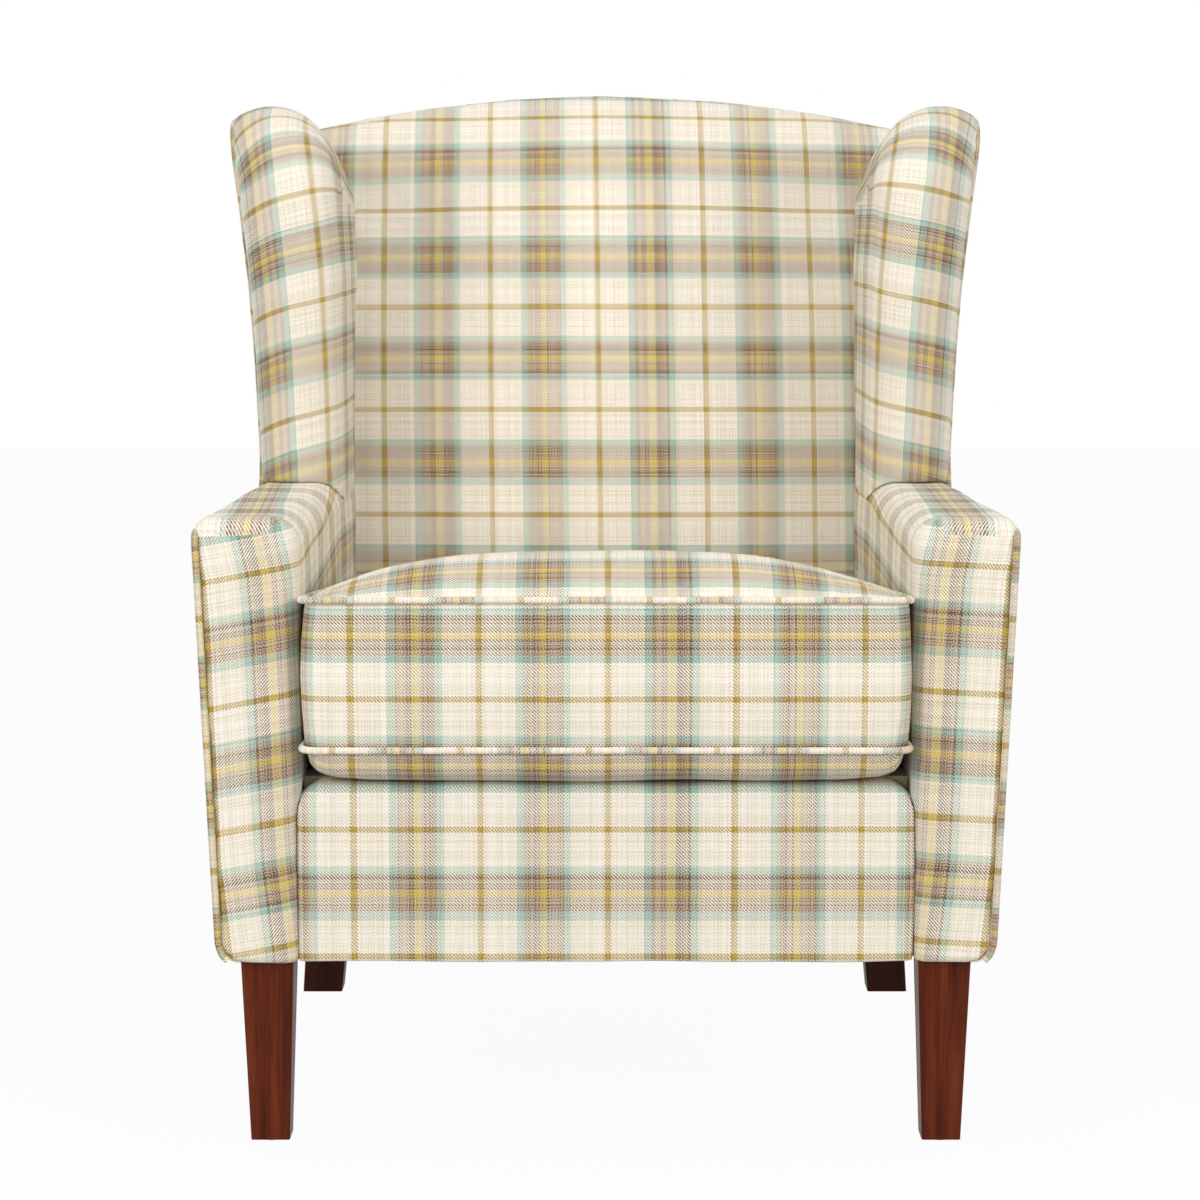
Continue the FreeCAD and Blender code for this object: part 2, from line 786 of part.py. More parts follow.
def crest_piping():
    """Piping along the top rear edge of the back."""
    half = side_x(back_outer(back_top), back_top) - cover - liner - 4.0
    count = 8
    points = []
    for i in range(count + 1):
        x = -half + 2 * half * i / count
        z = back_top - 2.0 - crest_drop(x)
        points.append(V(x, back_outer(z) + side_welt_out, z))
    return tube(tangent_path(points, 40.0), welt_radius)


# Legs

def leg_section(x, y, size, z):
    h, r = size / 2.0, leg_edge
    c = r * (1.0 - math.sqrt(0.5))
    return outline(
        at_z(z), (x - h + r, y - h), (x + h - r, y - h), ((x + h - c, y - h + c), (x + h, y - h + r)),
        (x + h, y + h - r), ((x + h - c, y + h - c), (x + h - r, y + h)), (x - h + r, y + h),
        ((x - h + c, y + h - c), (x - h, y + h - r)), (x - h, y - h + r), ((x - h + c, y - h + c), (x - h + r, y - h)))


bolt_places = ((leg_x, front_leg_y), (rear_leg_top_x, rear_leg_top_y))


def leg(top, foot, top_size, foot_size):
    body = loft([leg_section(foot[0], foot[1], foot_size, glide_height),
                 leg_section(top[0], top[1], top_size, frame_bottom)])
    bolt = Part.makeCylinder(bolt_radius, bolt_in_leg, V(top[0], top[1], frame_bottom - bolt_in_leg))
    pin = Part.makeCylinder(glide_pin_radius, glide_pin, V(foot[0], foot[1], glide_height))
    return body.cut(bolt).cut(pin)


glide_pin = 12.0
glide_pin_radius = 1.5
front_foot = (leg_x - 1.0, front_leg_y - 4.5)
rear_foot = (leg_x, rear_leg_y)


def glide(foot):
    disc = Part.makeCylinder(glide_radius, glide_height, V(foot[0], foot[1], 0))
    pin = Part.makeCylinder(glide_pin_radius, glide_pin, V(foot[0], foot[1], glide_height))
    return disc.fuse(pin).removeSplitter()


def bolt(place):
    return Part.makeCylinder(bolt_radius, bolt_in_leg + bolt_in_post, V(place[0], place[1], frame_bottom - bolt_in_leg))


def insert(place):
    outer = Part.makeCylinder(insert_radius, insert_height, V(place[0], place[1], frame_bottom))
    return outer.cut(Part.makeCylinder(bolt_radius, insert_height, V(place[0], place[1], frame_bottom)))


def bolt_bore(place):
    bore = Part.makeCylinder(insert_radius, insert_height, V(place[0], place[1], frame_bottom))
    tail = Part.makeCylinder(bolt_radius + 0.5, bolt_in_post + 4.0, V(place[0], place[1], frame_bottom))
    return bore.fuse(tail)


def largest(shape):
    return max(shape.Solids, key=lambda solid: solid.Volume)


def main():
    os.makedirs("parts", exist_ok=True)
    nodes = {}
    edge = side_piping()
    crest_cord = crest_piping()
    arm0, arm1 = arm_form(0.0), arm_form(cover)
    wing0, wing1 = wing_form(0.0), wing_form(cover)
    back0, back1 = back_form(0.0), back_form(cover)
    behind0, behind1, behind2 = behind_back(0.0), behind_back(cover), behind_back(cover + liner)

    # Timber
    post = largest(back_post().cut(crest_rail()).cut(bolt_bore(bolt_places[1])))
    front = largest(front_post().cut(bolt_bore(bolt_places[0])))
    posts = both(post)
    rail = side_rail()
    nodes["left_front_post"] = mirrored(front)
    nodes["right_front_post"] = front
    nodes["left_back_post"] = mirrored(post)
    nodes["right_back_post"] = post
    nodes["front_seat_rail"] = largest(front_rail().cut(both(front)))
    nodes["rear_seat_rail"] = rear_rail(posts)
    nodes["side_seat_rails"] = both(rail)
    nodes["corner_braces"] = corner_braces(Part.makeCompound([rail, post, front]))
    nodes["crest_rail"] = largest(crest_rail())
    nodes["lower_back_rail"] = largest(back_rail().cut(posts))
    top_rail = arm_rail()
    board = arm_board_blank()
    wing_panel = largest(wing_board_blank())
    nodes["arm_rails"] = both(top_rail)
    nodes["arm_boards"] = both(board)
    nodes["wing_boards"] = both(wing_panel)

    # Seat suspension
    nodes["seat_springs"] = seat_springs()
    nodes["spring_clips"] = spring_clips()
    arms = both(arm0)
    for name, below, thickness, first in (("deck_lining", 0.0, deck_lining, deck_front),
                                          ("deck_foam", deck_lining, deck_foam, deck_front),
                                          ("spring_insulator", deck_lining + deck_foam, insulator, deck_front)):
        layer = deck_layer(below, thickness, first).cut(arms).cut(posts)
        nodes[name] = largest(layer)

    # Border
    border0, border1 = border_form(0.0), border_form(cover)
    rail_space = box(-far, far, timber_y, deck_front + 1.0, 0.0, spring_z + spring_wire)
    nodes["border_cover"] = largest(border0.cut(border1).cut(arms).cut(rail_space))
    nodes["border_pad"] = largest(border1.cut(arms).cut(rail_space))

    # Arms
    low_inside = box(0.0, inner_x(0.0) + timber_inner, timber_y, 800.0, 0.0, rail_top)
    arm_shell = trim_side(arm0, 0.0).cut(arm1).cut(back0).cut(behind0).cut(low_inside)
    behind_deck = box(0.0, far, deck_rear, 900.0, 0.0, deck_top + 1.0)
    arm_shell = arm_shell.cut(wing_panel).cut(behind_deck)
    timber = Part.makeCompound([top_rail, board, post, front, wing_panel])
    arm_pad = trim_side(arm1, cover + liner).cut(arm_hollow()).cut(back0).cut(low_inside)
    arm_pad = largest(arm_pad.cut(timber))
    strip = side_region(cover, cover).cut(behind0)
    arm_side = box(0.0, far, cover, 900.0, 0.0, arm_top - arm_shoulder - cover)
    outside_arm = largest(strip.common(arm_side))
    liner_strip = side_region(cover + liner, liner).cut(behind1)
    arm_liner = largest(liner_strip.common(arm_side))
    arm_cover = largest(arm_shell.cut(Part.makeCompound([outside_arm, arm_liner])))

    # Wings
    shoulder = box(0.0, far, 0.0, 900.0, 0.0, arm_top - arm_shoulder)
    wing_cover = largest(trim_side(wing0, 0.0).cut(wing1).cut(back0).cut(arm0))
    wing_pad = largest(trim_side(wing1, cover + liner).cut(back0).cut(arm0).cut(wing_panel))
    upper = wing1.fuse(back1).cut(arm0).cut(shoulder)
    outside_wing = largest(strip.common(upper))
    wing_liner = largest(liner_strip.common(upper))

    for side, flip in (("left", mirrored), ("right", lambda shape: shape)):
        nodes[side + "_arm_foam"] = flip(arm_pad)
        nodes[side + "_arm_cover"] = flip(arm_cover)
        nodes[side + "_outside_arm_cover"] = flip(outside_arm)
        nodes[side + "_wing_foam"] = flip(wing_pad)
        nodes[side + "_wing_cover"] = flip(wing_cover)
        nodes[side + "_outside_wing_cover"] = flip(outside_wing)
        nodes[side + "_piping"] = flip(edge)
    nodes["arm_liners"] = both(arm_liner)
    nodes["wing_liners"] = both(wing_liner)

    # Back
    panels = both(wing_panel)
    arm_timber = both(Part.makeCompound([top_rail, board]))
    nodes["back_webbing"] = webbing().cut(panels).cut(arm_timber)
    inside_back = trim_sides(back0, cover).cut(back1).cut(behind0)
    inside_back = inside_back.cut(panels).cut(arm_timber).cut(nodes["arm_liners"]).cut(nodes["wing_liners"])
    nodes["inside_back_cover"] = largest(inside_back)
    hollow = behind_back(cover + liner + post_depth + web_thickness)
    hollow = hollow.cut(box(-far, far, 0.0, 2000.0, crest_rail_bottom(post_reach), 2000.0))
    pad = trim_sides(back1, cover + liner).cut(behind2).cut(hollow).cut(nodes["crest_rail"])
    pad = pad.cut(posts).cut(panels).cut(arm_timber).cut(nodes["back_webbing"])
    nodes["back_foam"] = largest(pad)
    tall = back1.fuse(box(-far, far, 0.0, 2 * far, frame_bottom, deck_top + cover + 1.0))
    nodes["outside_back_cover"] = largest(trim_sides(behind1.cut(behind0).common(tall), cover))
    nodes["back_liner"] = largest(trim_sides(behind2.cut(behind1).common(tall), cover + liner))
    nodes["crest_piping"] = crest_cord

    # Legs and their fastenings
    front_leg = leg(bolt_places[0], front_foot, front_leg_top, front_leg_foot)
    rear_leg = leg(bolt_places[1], rear_foot, rear_leg_top, rear_leg_foot)
    nodes["left_front_leg"] = mirrored(front_leg)
    nodes["right_front_leg"] = front_leg
    nodes["left_rear_leg"] = mirrored(rear_leg)
    nodes["right_rear_leg"] = rear_leg
    nodes["leg_bolts"] = both(Part.makeCompound([bolt(place) for place in bolt_places]))
    nodes["leg_inserts"] = both(Part.makeCompound([insert(place) for place in bolt_places]))
    nodes["leg_glides"] = both(Part.makeCompound([glide(foot) for foot in (front_foot, rear_foot)]))

    # Dust cover under the seat
    cloth = box(-far / 2, far / 2, timber_y, back_foot_y - cover - liner,
                frame_bottom + rail_bottom_gap - dust_thickness, frame_bottom + rail_bottom_gap)
    cloth = trim_sides(cloth, cover + liner).cut(both(front)).cut(posts)
    nodes["dust_cover"] = largest(cloth)

    # Cushion
    core = boxing_part(cover).fuse([crown_part(cushion_high, top_crown, 1.0, cover),
                                    crown_part(cushion_low, bottom_crown, -1.0, cover)])
    low_cord, high_cord = cushion_piping(cushion_low), cushion_piping(cushion_high)
    cords = Part.makeCompound([low_cord, high_cord])
    tape, pocket, chain, slider = zip_parts()
    nodes["cushion_foam"] = core.cut(cords)
    nodes["cushion_top_panel"] = crown_part(cushion_high, top_crown, 1.0, 0.0).cut(core).cut(cords)
    nodes["cushion_bottom_panel"] = crown_part(cushion_low, bottom_crown, -1.0, 0.0).cut(core).cut(cords)
    nodes["cushion_boxing"] = boxing_part(0.0).cut(core).cut(cords).cut(pocket)
    nodes["cushion_top_piping"] = high_cord
    nodes["cushion_bottom_piping"] = low_cord
    nodes["zip_tape"] = tape
    nodes["zip_chain"] = chain
    nodes["zip_slider"] = slider

    middle = (cushion_front + back_outer(back_top)) / 2.0
    for name, shape in nodes.items():
        shape.translate(V(0.0, -middle, 0.0))
        shape.exportStep("parts/" + name + ".step")
    print("middle", middle, "nodes", len(nodes))


if __name__ == "__main__":
    main()
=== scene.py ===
"""Fireside wing chair in tartan cloth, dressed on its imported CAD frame.

Metres. X runs across the chair, Y from front to back, Z up from the floor.
"""

# %% [markdown]
# # A fireside chair in Blender
# The frame of the chair comes from CAD: its timber, foam, springs, legs and the shapes of its covers.
# This lesson dresses that frame. Each cover gets cloth that lies on it as it would on the real chair,
# with the tartan's bands in step from panel to panel, and piping runs round the edges.

# %% Load the frame
import bmesh
import bpy
import math
import numpy as np
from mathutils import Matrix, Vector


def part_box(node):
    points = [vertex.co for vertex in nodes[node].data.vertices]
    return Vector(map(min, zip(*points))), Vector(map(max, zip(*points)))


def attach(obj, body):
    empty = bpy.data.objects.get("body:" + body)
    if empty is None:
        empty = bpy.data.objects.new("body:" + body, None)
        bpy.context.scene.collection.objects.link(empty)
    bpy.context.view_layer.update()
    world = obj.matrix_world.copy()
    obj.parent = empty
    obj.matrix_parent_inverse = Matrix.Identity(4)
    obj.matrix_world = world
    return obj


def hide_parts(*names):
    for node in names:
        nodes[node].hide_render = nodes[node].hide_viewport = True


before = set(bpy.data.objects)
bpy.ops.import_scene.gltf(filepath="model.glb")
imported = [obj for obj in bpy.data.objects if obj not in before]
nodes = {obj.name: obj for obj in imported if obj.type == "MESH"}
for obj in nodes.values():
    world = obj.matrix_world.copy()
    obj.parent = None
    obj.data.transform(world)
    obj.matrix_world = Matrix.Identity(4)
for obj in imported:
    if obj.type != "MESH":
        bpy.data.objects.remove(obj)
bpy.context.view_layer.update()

# %% [markdown]
# ## The chair's own sizes
# The CAD model was worked out with Y = 0 at the fronts of the arms and then moved forward. The same
# sizes are repeated here, so that the cloth and the piping follow the same curves as the frame.

# %% Sizes repeated from the frame
MIDDLE = 0.3871375            # how far the frame was moved forward
COVER = 0.0015                # upholstery cloth with its wadding
WELT = 0.0032                 # radius of the covered piping cord
FRAME_BOTTOM = 0.173
BOTTOM_CORNER = 0.018
FOOT_HALF = 0.354             # half width across the outside at the bottom edge, in front
FOOT_TAPER = 0.040            # how much narrower that gets with depth
SIDE_LEAN = 0.044             # how much wider with height
FLARE_START = 0.690
FLARE_RADIUS = 2.080
ARM_TOP = 0.583
ARM_SHOULDER = 0.012
ARM_ROLL = 0.027
ARM_FRONT_ROLL = 0.020
ARM_INNER = 0.281             # half width between the inside arms, in front
ARM_TAPER = 0.018
WING_INNER = 0.2715
WING_WELT = 0.455
WING_AXIS_Y = 0.511
WING_AXIS_Z = 0.871
WING_CORNER = 0.100
WING_SHED = 0.015
WING_TOP = 0.971
WING_TOP_SLOPE = 0.115
BACK_FOOT = 0.660             # depth of the outside back up to BACK_BEND
BACK_BEND = 0.340
BACK_RAKE = 0.2035
BACK_TOP = 0.990
CREST_RADIUS = 1.450
FRAME_LOW = 0.3717            # the cushion's seams in the frame
FRAME_HIGH = 0.5087
CUSHION_LOW = 0.3744          # and on the photograph
CUSHION_HIGH = 0.5117


def side_x(y, z):
    """Half width across the outside of the chair at depth y and height z."""
    foot = FOOT_HALF - FOOT_TAPER * y
    if z <= FLARE_START:
        return foot + SIDE_LEAN * (z - FRAME_BOTTOM)
    tilt = math.atan(SIDE_LEAN)
    rise = z - FLARE_START + FLARE_RADIUS * math.sin(tilt)
    start = foot + SIDE_LEAN * (FLARE_START - FRAME_BOTTOM)
    return start + FLARE_RADIUS * math.cos(tilt) - math.sqrt(FLARE_RADIUS ** 2 - rise ** 2)


def corner_in(z):
    """How far the outside draws in at the rounded bottom edge."""
    below = max(0.0, FRAME_BOTTOM + BOTTOM_CORNER - z)
    return BOTTOM_CORNER - math.sqrt(BOTTOM_CORNER ** 2 - below ** 2)


def inner_x(y):
    """Half width between the inside arms."""
    return ARM_INNER - ARM_TAPER * y


def back_outer(z):
    """Depth of the outside back at height z."""
    return BACK_FOOT + BACK_RAKE * np.maximum(0.0, z - BACK_BEND)


def crest_drop(x):
    """Fall of the back's top edge away from its middle."""
    return CREST_RADIUS - np.sqrt(CREST_RADIUS ** 2 - np.asarray(x) ** 2)


print("width at the arm tops:", round(2 * side_x(0.0, ARM_TOP), 3), "m")

# %% [markdown]
# ## Small helpers
# Three jobs come back all the time: putting a mesh in the scene, turning modifiers into plain mesh,
# and reading or writing many points at once. With numpy each of them is a few lines, and fast.

# %% Helpers
def linear(red, green, blue):
    """A colour measured on screen, 0 to 255, as the linear colour that shaders use."""
    def one(c):
        c /= 255.0
        return c / 12.92 if c <= 0.04045 else ((c + 0.055) / 1.055) ** 2.4
    return (one(red), one(green), one(blue), 1.0)


def in_scene(name, mesh):
    piece = bpy.data.objects.new(name, mesh)
    bpy.context.scene.collection.objects.link(piece)
    return piece


def mesh_of(piece):
    """The piece as its modifiers leave it, as a new mesh."""
    bpy.context.view_layer.update()
    graph = bpy.context.evaluated_depsgraph_get()
    return bpy.data.meshes.new_from_object(piece.evaluated_get(graph))


def settled(piece):
    """Turns the piece's modifiers into plain mesh and removes them."""
    old, mesh = piece.data, mesh_of(piece)
    piece.modifiers.clear()
    piece.data = mesh
    if old.users == 0:
        bpy.data.meshes.remove(old)


def values_of(items, field, width, kind=np.float32):
    """One field of all the items of a mesh, as a table with width columns."""
    table = np.empty(len(items) * width, kind)
    items.foreach_get(field, table)
    return table.reshape(-1, width)


def points_of(mesh):
    return values_of(mesh.vertices, "co", 3).astype(float)


def normals_of(mesh):
    return values_of(mesh.vertices, "normal", 3).astype(float)


def move_points(mesh, co):
    mesh.vertices.foreach_set("co", np.asarray(co, np.float32).ravel())
    mesh.update()


def smoothstep(low, high, value):
    t = np.clip((value - low) / (high - low), 0.0, 1.0)
    return t * t * (3.0 - 2.0 * t)


# %% [markdown]
# ## Materials from nodes
# A node tree is easier to write with one function that adds a node, sets its values and wires its
# inputs. Numbers and colours that are the same all over a surface go straight on the shader.

# %% Node helper
def new_material(name):
    material = bpy.data.materials.new(name)
    material.use_nodes = True
    material.node_tree.nodes.clear()
    return material, Wiring(material.node_tree)


class Wiring:
    """Adds nodes to a tree; an input takes a number, a colour or another node's output."""

    def __init__(self, tree):
        self.tree = tree

    def add(self, kind, inputs=None, **settings):
        node = self.tree.nodes.new(kind)
        for name, value in settings.items():
            setattr(node, name, value)
        for socket, value in (inputs or {}).items():
            if isinstance(value, bpy.types.NodeSocket):
                self.tree.links.new(value, node.inputs[socket])
            else:
                node.inputs[socket].default_value = value
        return node

    def math(self, operation, a, b=0.0, c=0.0):
        return self.add("ShaderNodeMath", {0: a, 1: b, 2: c}, operation=operation).outputs[0]

    def mix(self, share, a, b, blend="MIX"):
        return self.add("ShaderNodeMix", {0: share, 6: a, 7: b},
                        data_type="RGBA", blend_type=blend).outputs[2]

    def ramp(self, value, stops, interpolation="LINEAR"):
        node = self.add("ShaderNodeValToRGB", {0: value})
        band = node.color_ramp
        band.interpolation = interpolation
        while len(band.elements) > 1:
            band.elements.remove(band.elements[0])
        band.elements[0].position, band.elements[0].color = stops[0]
        for place, colour in stops[1:]:
            band.elements.new(place).color = colour
        return node.outputs[0]

    def noise(self, place, scale, detail=2.0, roughness=0.5):
        return self.add("ShaderNodeTexNoise", {"Vector": place, "Scale": scale, "Detail": detail,
                                               "Roughness": roughness}).outputs[0]

    def stretched(self, place, factors, offset=(0.0, 0.0, 0.0)):
        return self.add("ShaderNodeMapping", {0: place, 1: offset, 3: factors}).outputs[0]

    def bump(self, height, strength, distance):
        return self.add("ShaderNodeBump",
                        {"Height": height, "Strength": strength, "Distance": distance}).outputs[0]

    def surface(self, shader_inputs):
        shader = self.add("ShaderNodeBsdfPrincipled", shader_inputs)
        self.add("ShaderNodeOutputMaterial", {0: shader.outputs[0]})
        return shader


print("helpers ready")

# %% [markdown]
# ## Tartan
# A tartan is woven from one list of coloured threads, used in the same order for the warp and the weft.
# The shader does just that: it counts threads along the cloth's own two directions, which come from a
# UV map in metres, looks up each thread's colour in a ramp that repeats every 11.65 cm, and lets the warp
# or the weft show on top in the stepped order of a twill. Where equal colours cross they look solid,
# where two colours cross they look speckled, as in real cloth.

# %% Tartan material
REPEAT = 0.1165               # one run through the list of threads
THREAD = 0.00080
TURN = 0.25                   # share of a twill's step that one thread takes
SLUBS = (1300.0, 60.0, 1.0)   # the yarn's thick places: short across it, long along it

YARNS = (                     # where each band starts in the run, its darker threads, its lighter threads
    (0.000, (176, 144, 48), (196, 168, 82)),       # mustard line
    (0.024, (232, 221, 199), (252, 246, 234)),     # cream ground
    (0.285, (142, 178, 166), (183, 206, 194)),     # duck-egg edge
    (0.344, (104, 82, 66), (199, 178, 154)),       # taupe band
    (0.472, (204, 176, 78), (222, 202, 124)),      # straw centre
    (0.526, (104, 82, 66), (199, 178, 154)),
    (0.654, (142, 178, 166), (183, 206, 194)),
    (0.714, (232, 221, 199), (252, 246, 234)),
    (0.976, (176, 144, 48), (196, 168, 82)),
)


def thread_colour(w, count, salt):
    """Colour of thread number count: its band's darker or lighter yarn, picked thread by thread."""
    middle = w.math("MULTIPLY", w.math("ADD", count, 0.5), THREAD / REPEAT)
    along = w.math("FRACT", middle)
    dark = w.ramp(along, [(p, linear(*d)) for p, d, _ in YARNS], "CONSTANT")
    light = w.ramp(along, [(p, linear(*l)) for p, _, l in YARNS], "CONSTANT")
    pick = w.add("ShaderNodeTexWhiteNoise", {"W": w.math("ADD", count, salt)},
                 noise_dimensions="1D").outputs[0]
    return w.mix(w.ramp(pick, [(0.25, (0, 0, 0, 1)), (0.6, (1, 1, 1, 1))]), dark, light)


def tartan(name):
    material, w = new_material(name)
    cloth = w.add("ShaderNodeUVMap", uv_map="cloth").outputs[0]
    parts = w.add("ShaderNodeSeparateXYZ", {0: cloth})
    across = w.math("DIVIDE", parts.outputs[0], THREAD)
    along = w.math("DIVIDE", parts.outputs[1], THREAD)
    warp_no, weft_no = w.math("FLOOR", across), w.math("FLOOR", along)
    warp, weft = thread_colour(w, warp_no, 17.0), thread_colour(w, weft_no, 53.0)
    step = w.math("FRACT", w.math("MULTIPLY", w.math("ADD", warp_no, weft_no), TURN))
    weft_up = w.math("GREATER_THAN", step, 0.499)
    # the weft is a little thicker than the warp, and shows through where it goes under
    woven = w.mix(w.math("MAXIMUM", weft_up, 0.06), warp, weft)
    # thick and thin places in the yarn
    warp_slub = w.noise(w.stretched(cloth, SLUBS), 1.0, 2.0)
    weft_slub = w.noise(w.stretched(cloth, (SLUBS[1], SLUBS[0], 1.0), (3.0, 7.0, 0.0)), 1.0, 2.0)
    slubs = w.math("ADD", warp_slub, weft_slub)
    uneven = w.ramp(w.math("MULTIPLY", slubs, 0.5), [(0.36, (0.86, 0.83, 0.79, 1)), (0.5, (1, 1, 1, 1))])
    coloured = w.mix(0.55, woven, uneven, "MULTIPLY")
    # each thread is round, and dips where it goes under; its edges are also darkened in colour, which is
    # painted shade between the threads
    ridge_a = w.math("SINE", w.math("MULTIPLY", w.math("FRACT", across), math.pi))
    ridge_b = w.math("SINE", w.math("MULTIPLY", w.math("FRACT", along), math.pi))
    ridge = w.add("ShaderNodeMix", {0: weft_up, 2: ridge_a, 3: ridge_b}).outputs[0]
    thread_edge_shade = w.ramp(ridge, [(0.0, (0.72, 0.70, 0.68, 1)), (0.75, (1, 1, 1, 1))])
    weave_with_painted_shade = w.mix(1.0, coloured, thread_edge_shade, "MULTIPLY")
    rough = w.math("MULTIPLY_ADD", slubs, 0.5, ridge)
    w.surface({"Base Color": weave_with_painted_shade, "Roughness": 0.92, "Specular IOR Level": 0.22, "Sheen Weight": 0.12,
               "Sheen Roughness": 0.5, "Normal": w.bump(rough, 0.45, 0.0004)})
    return material


tartan_cloth = tartan("tartan_cloth")
print("tartan repeats every", REPEAT, "m, with", round(REPEAT / THREAD), "threads")

# %% [markdown]
# ## Timber, foam and the rest
# The legs are stained a deep red-brown under a satin lacquer: long noise along the leg gives the grain,
# finer streaks the pores. The hidden pieces get plainer finishes of their own, because the chair can be
# taken apart: sawn timber, open-cell foam, felt, card, webbing and steel.

# %% Leg wood and frame timber
GRAIN = (70.0, 70.0, 5.0)     # noise scales that draw the grain out along the leg
PORES = (630.0, 630.0, 14.0)


def wood(name, dark, middle, light, gloss, coat):
    material, w = new_material(name)
    place = w.add("ShaderNodeTexCoord").outputs["Object"]
    grain = w.noise(w.stretched(place, GRAIN), 1.0, 5.0, 0.6)
    pores = w.noise(w.stretched(place, PORES), 1.0, 2.0)
    colour = w.ramp(grain, [(0.32, linear(*dark)), (0.5, linear(*middle)), (0.68, linear(*light))])
    lines = w.ramp(pores, [(0.35, (0.55, 0.5, 0.48, 1)), (0.55, (1, 1, 1, 1))])
    streaked = w.mix(0.55, colour, lines, "MULTIPLY")
    shine = w.ramp(pores, [(0.3, (gloss + 0.14,) * 3 + (1,)), (0.6, (gloss,) * 3 + (1,))])
    w.surface({"Base Color": streaked, "Roughness": shine, "Coat Weight": coat, "Coat Roughness": 0.22,
               "Specular IOR Level": 0.08, "Normal": w.bump(pores, 0.12, 0.0006)})
    return material


leg_wood = wood("stained_leg_wood", (66, 24, 11), (91, 37, 17), (110, 50, 26), 0.38, 0.03)
# the rear legs wear the same stain made darker: painted shade for the shadow under the chair, not a different
# wood
rear_leg_wood_painted_shade = wood("darker_leg_wood", (36, 12, 6), (50, 18, 9), (64, 26, 14), 0.42, 0.02)
frame_timber = wood("sawn_beech", (176, 138, 96), (199, 163, 120), (216, 184, 143), 0.62, 0.0)


# %% Soft and hidden finishes
def plain(name, dark, light, scale, bump, roughness=0.9, metallic=0.0,
          stretch=(1.0, 1.0, 1.0), sheen=0.0):
    """Finish with a fine mottle and a matching bump, for a surface with no pattern of its own."""
    material, w = new_material(name)
    place = w.add("ShaderNodeTexCoord").outputs["Object"]
    fine = w.noise(w.stretched(place, stretch), scale, 4.0, 0.65)
    colour = w.ramp(fine, [(0.3, linear(*dark)), (0.7, linear(*light))])
    dull = min(1.0, roughness + 0.08)
    shine = w.ramp(fine, [(0.3, (dull,) * 3 + (1,)), (0.7, (roughness,) * 3 + (1,))])
    w.surface({"Base Color": colour, "Roughness": shine, "Metallic": metallic, "Sheen Weight": sheen,
               "Normal": w.bump(fine, bump, 0.0008)})
    return material


foam = plain("open_cell_foam", (206, 194, 160), (238, 229, 202), 900.0, 0.5, 0.95)
felt = plain("needled_felt", (104, 98, 90), (150, 143, 132), 420.0, 0.6, 0.97, stretch=(1.0, 0.35, 1.0))
card = plain("fibre_card", (146, 126, 98), (178, 157, 126), 260.0, 0.25, 0.88)
webbing = plain("jute_webbing", (134, 112, 80), (172, 148, 110), 700.0, 0.7, 0.95, stretch=(0.4, 1.0, 1.0))
platform = plain("platform_cloth", (205, 193, 170), (228, 218, 198), 1300.0, 0.4, 0.93, sheen=0.1)
dust_cloth = plain("black_dust_cloth", (22, 22, 23), (44, 43, 43), 1500.0, 0.5, 0.95)
steel = plain("zinc_steel", (150, 152, 156), (186, 188, 190), 600.0, 0.15, 0.32, 1.0)
zip_metal = plain("plated_zip", (168, 166, 160), (200, 198, 192), 900.0, 0.1, 0.25, 1.0)
zip_plastic = plain("zip_coil", (206, 196, 172), (226, 218, 198), 500.0, 0.1, 0.5)
zip_tape = plain("zip_tape", (212, 202, 180), (230, 222, 204), 1600.0, 0.4, 0.9)
glide = plain("glide_plastic", (26, 24, 23), (40, 37, 35), 700.0, 0.2, 0.5)

finishes = {
    leg_wood: ("left_front_leg", "right_front_leg"),
    # the rear legs take the darker copy of the stain, which is painted shade
    rear_leg_wood_painted_shade: ("left_rear_leg", "right_rear_leg"),
    frame_timber: ("arm_boards", "arm_rails", "corner_braces", "crest_rail", "front_seat_rail",
                   "left_back_post", "left_front_post", "lower_back_rail", "rear_seat_rail",
                   "right_back_post", "right_front_post", "side_seat_rails", "wing_boards"),
    foam: ("back_foam", "border_pad", "cushion_foam", "deck_foam", "left_arm_foam", "left_wing_foam",
           "right_arm_foam", "right_wing_foam"),
    felt: ("spring_insulator",),
    card: ("arm_liners", "back_liner", "wing_liners"),
    webbing: ("back_webbing",),
    steel: ("leg_bolts", "leg_inserts", "seat_springs", "spring_clips"),
    glide: ("leg_glides",),
    zip_tape: ("zip_tape",),
    zip_metal: ("zip_slider",),
}
for material, names in finishes.items():
    for name in names:
        nodes[name].data.materials.clear()
        nodes[name].data.materials.append(material)
print("finished frame pieces:", sum(len(n) for n in finishes.values()))

# %% [markdown]
# ## How a padded cover is made
# On the real chair a cover is pulled over foam and tacked down, so its shape is the foam's, a little
# softer. Here the frame's cover and its foam are copied together and remeshed as one closed skin. A
# smoothing pass rounds what the foam would round. A straight cut leaves an edge exactly where a sewn
# seam runs, because a remesh alone can't keep one.

# %% Closed skins from the frame
def frame_copy(name, sources):
    """The frame's solids as one mesh, with the corners that their triangles share joined up."""
    gathered = bmesh.new()
    for source in sources:
        gathered.from_mesh(nodes[source].data)
    bmesh.ops.remove_doubles(gathered, verts=gathered.verts, dist=2e-6)
    mesh = bpy.data.meshes.new(name)
    gathered.to_mesh(mesh)
    gathered.free()
    return in_scene(name, mesh)


def closed_skin(name, sources, voxel, passes):
    piece = frame_copy(name, sources)
    remesh = piece.modifiers.new("skin", "REMESH")
    remesh.mode = "VOXEL"
    remesh.voxel_size = voxel
    soften = piece.modifiers.new("soften", "SMOOTH")
    soften.factor = 0.5
    soften.iterations = passes
    settled(piece)
    piece.data.shade_smooth()
    return piece


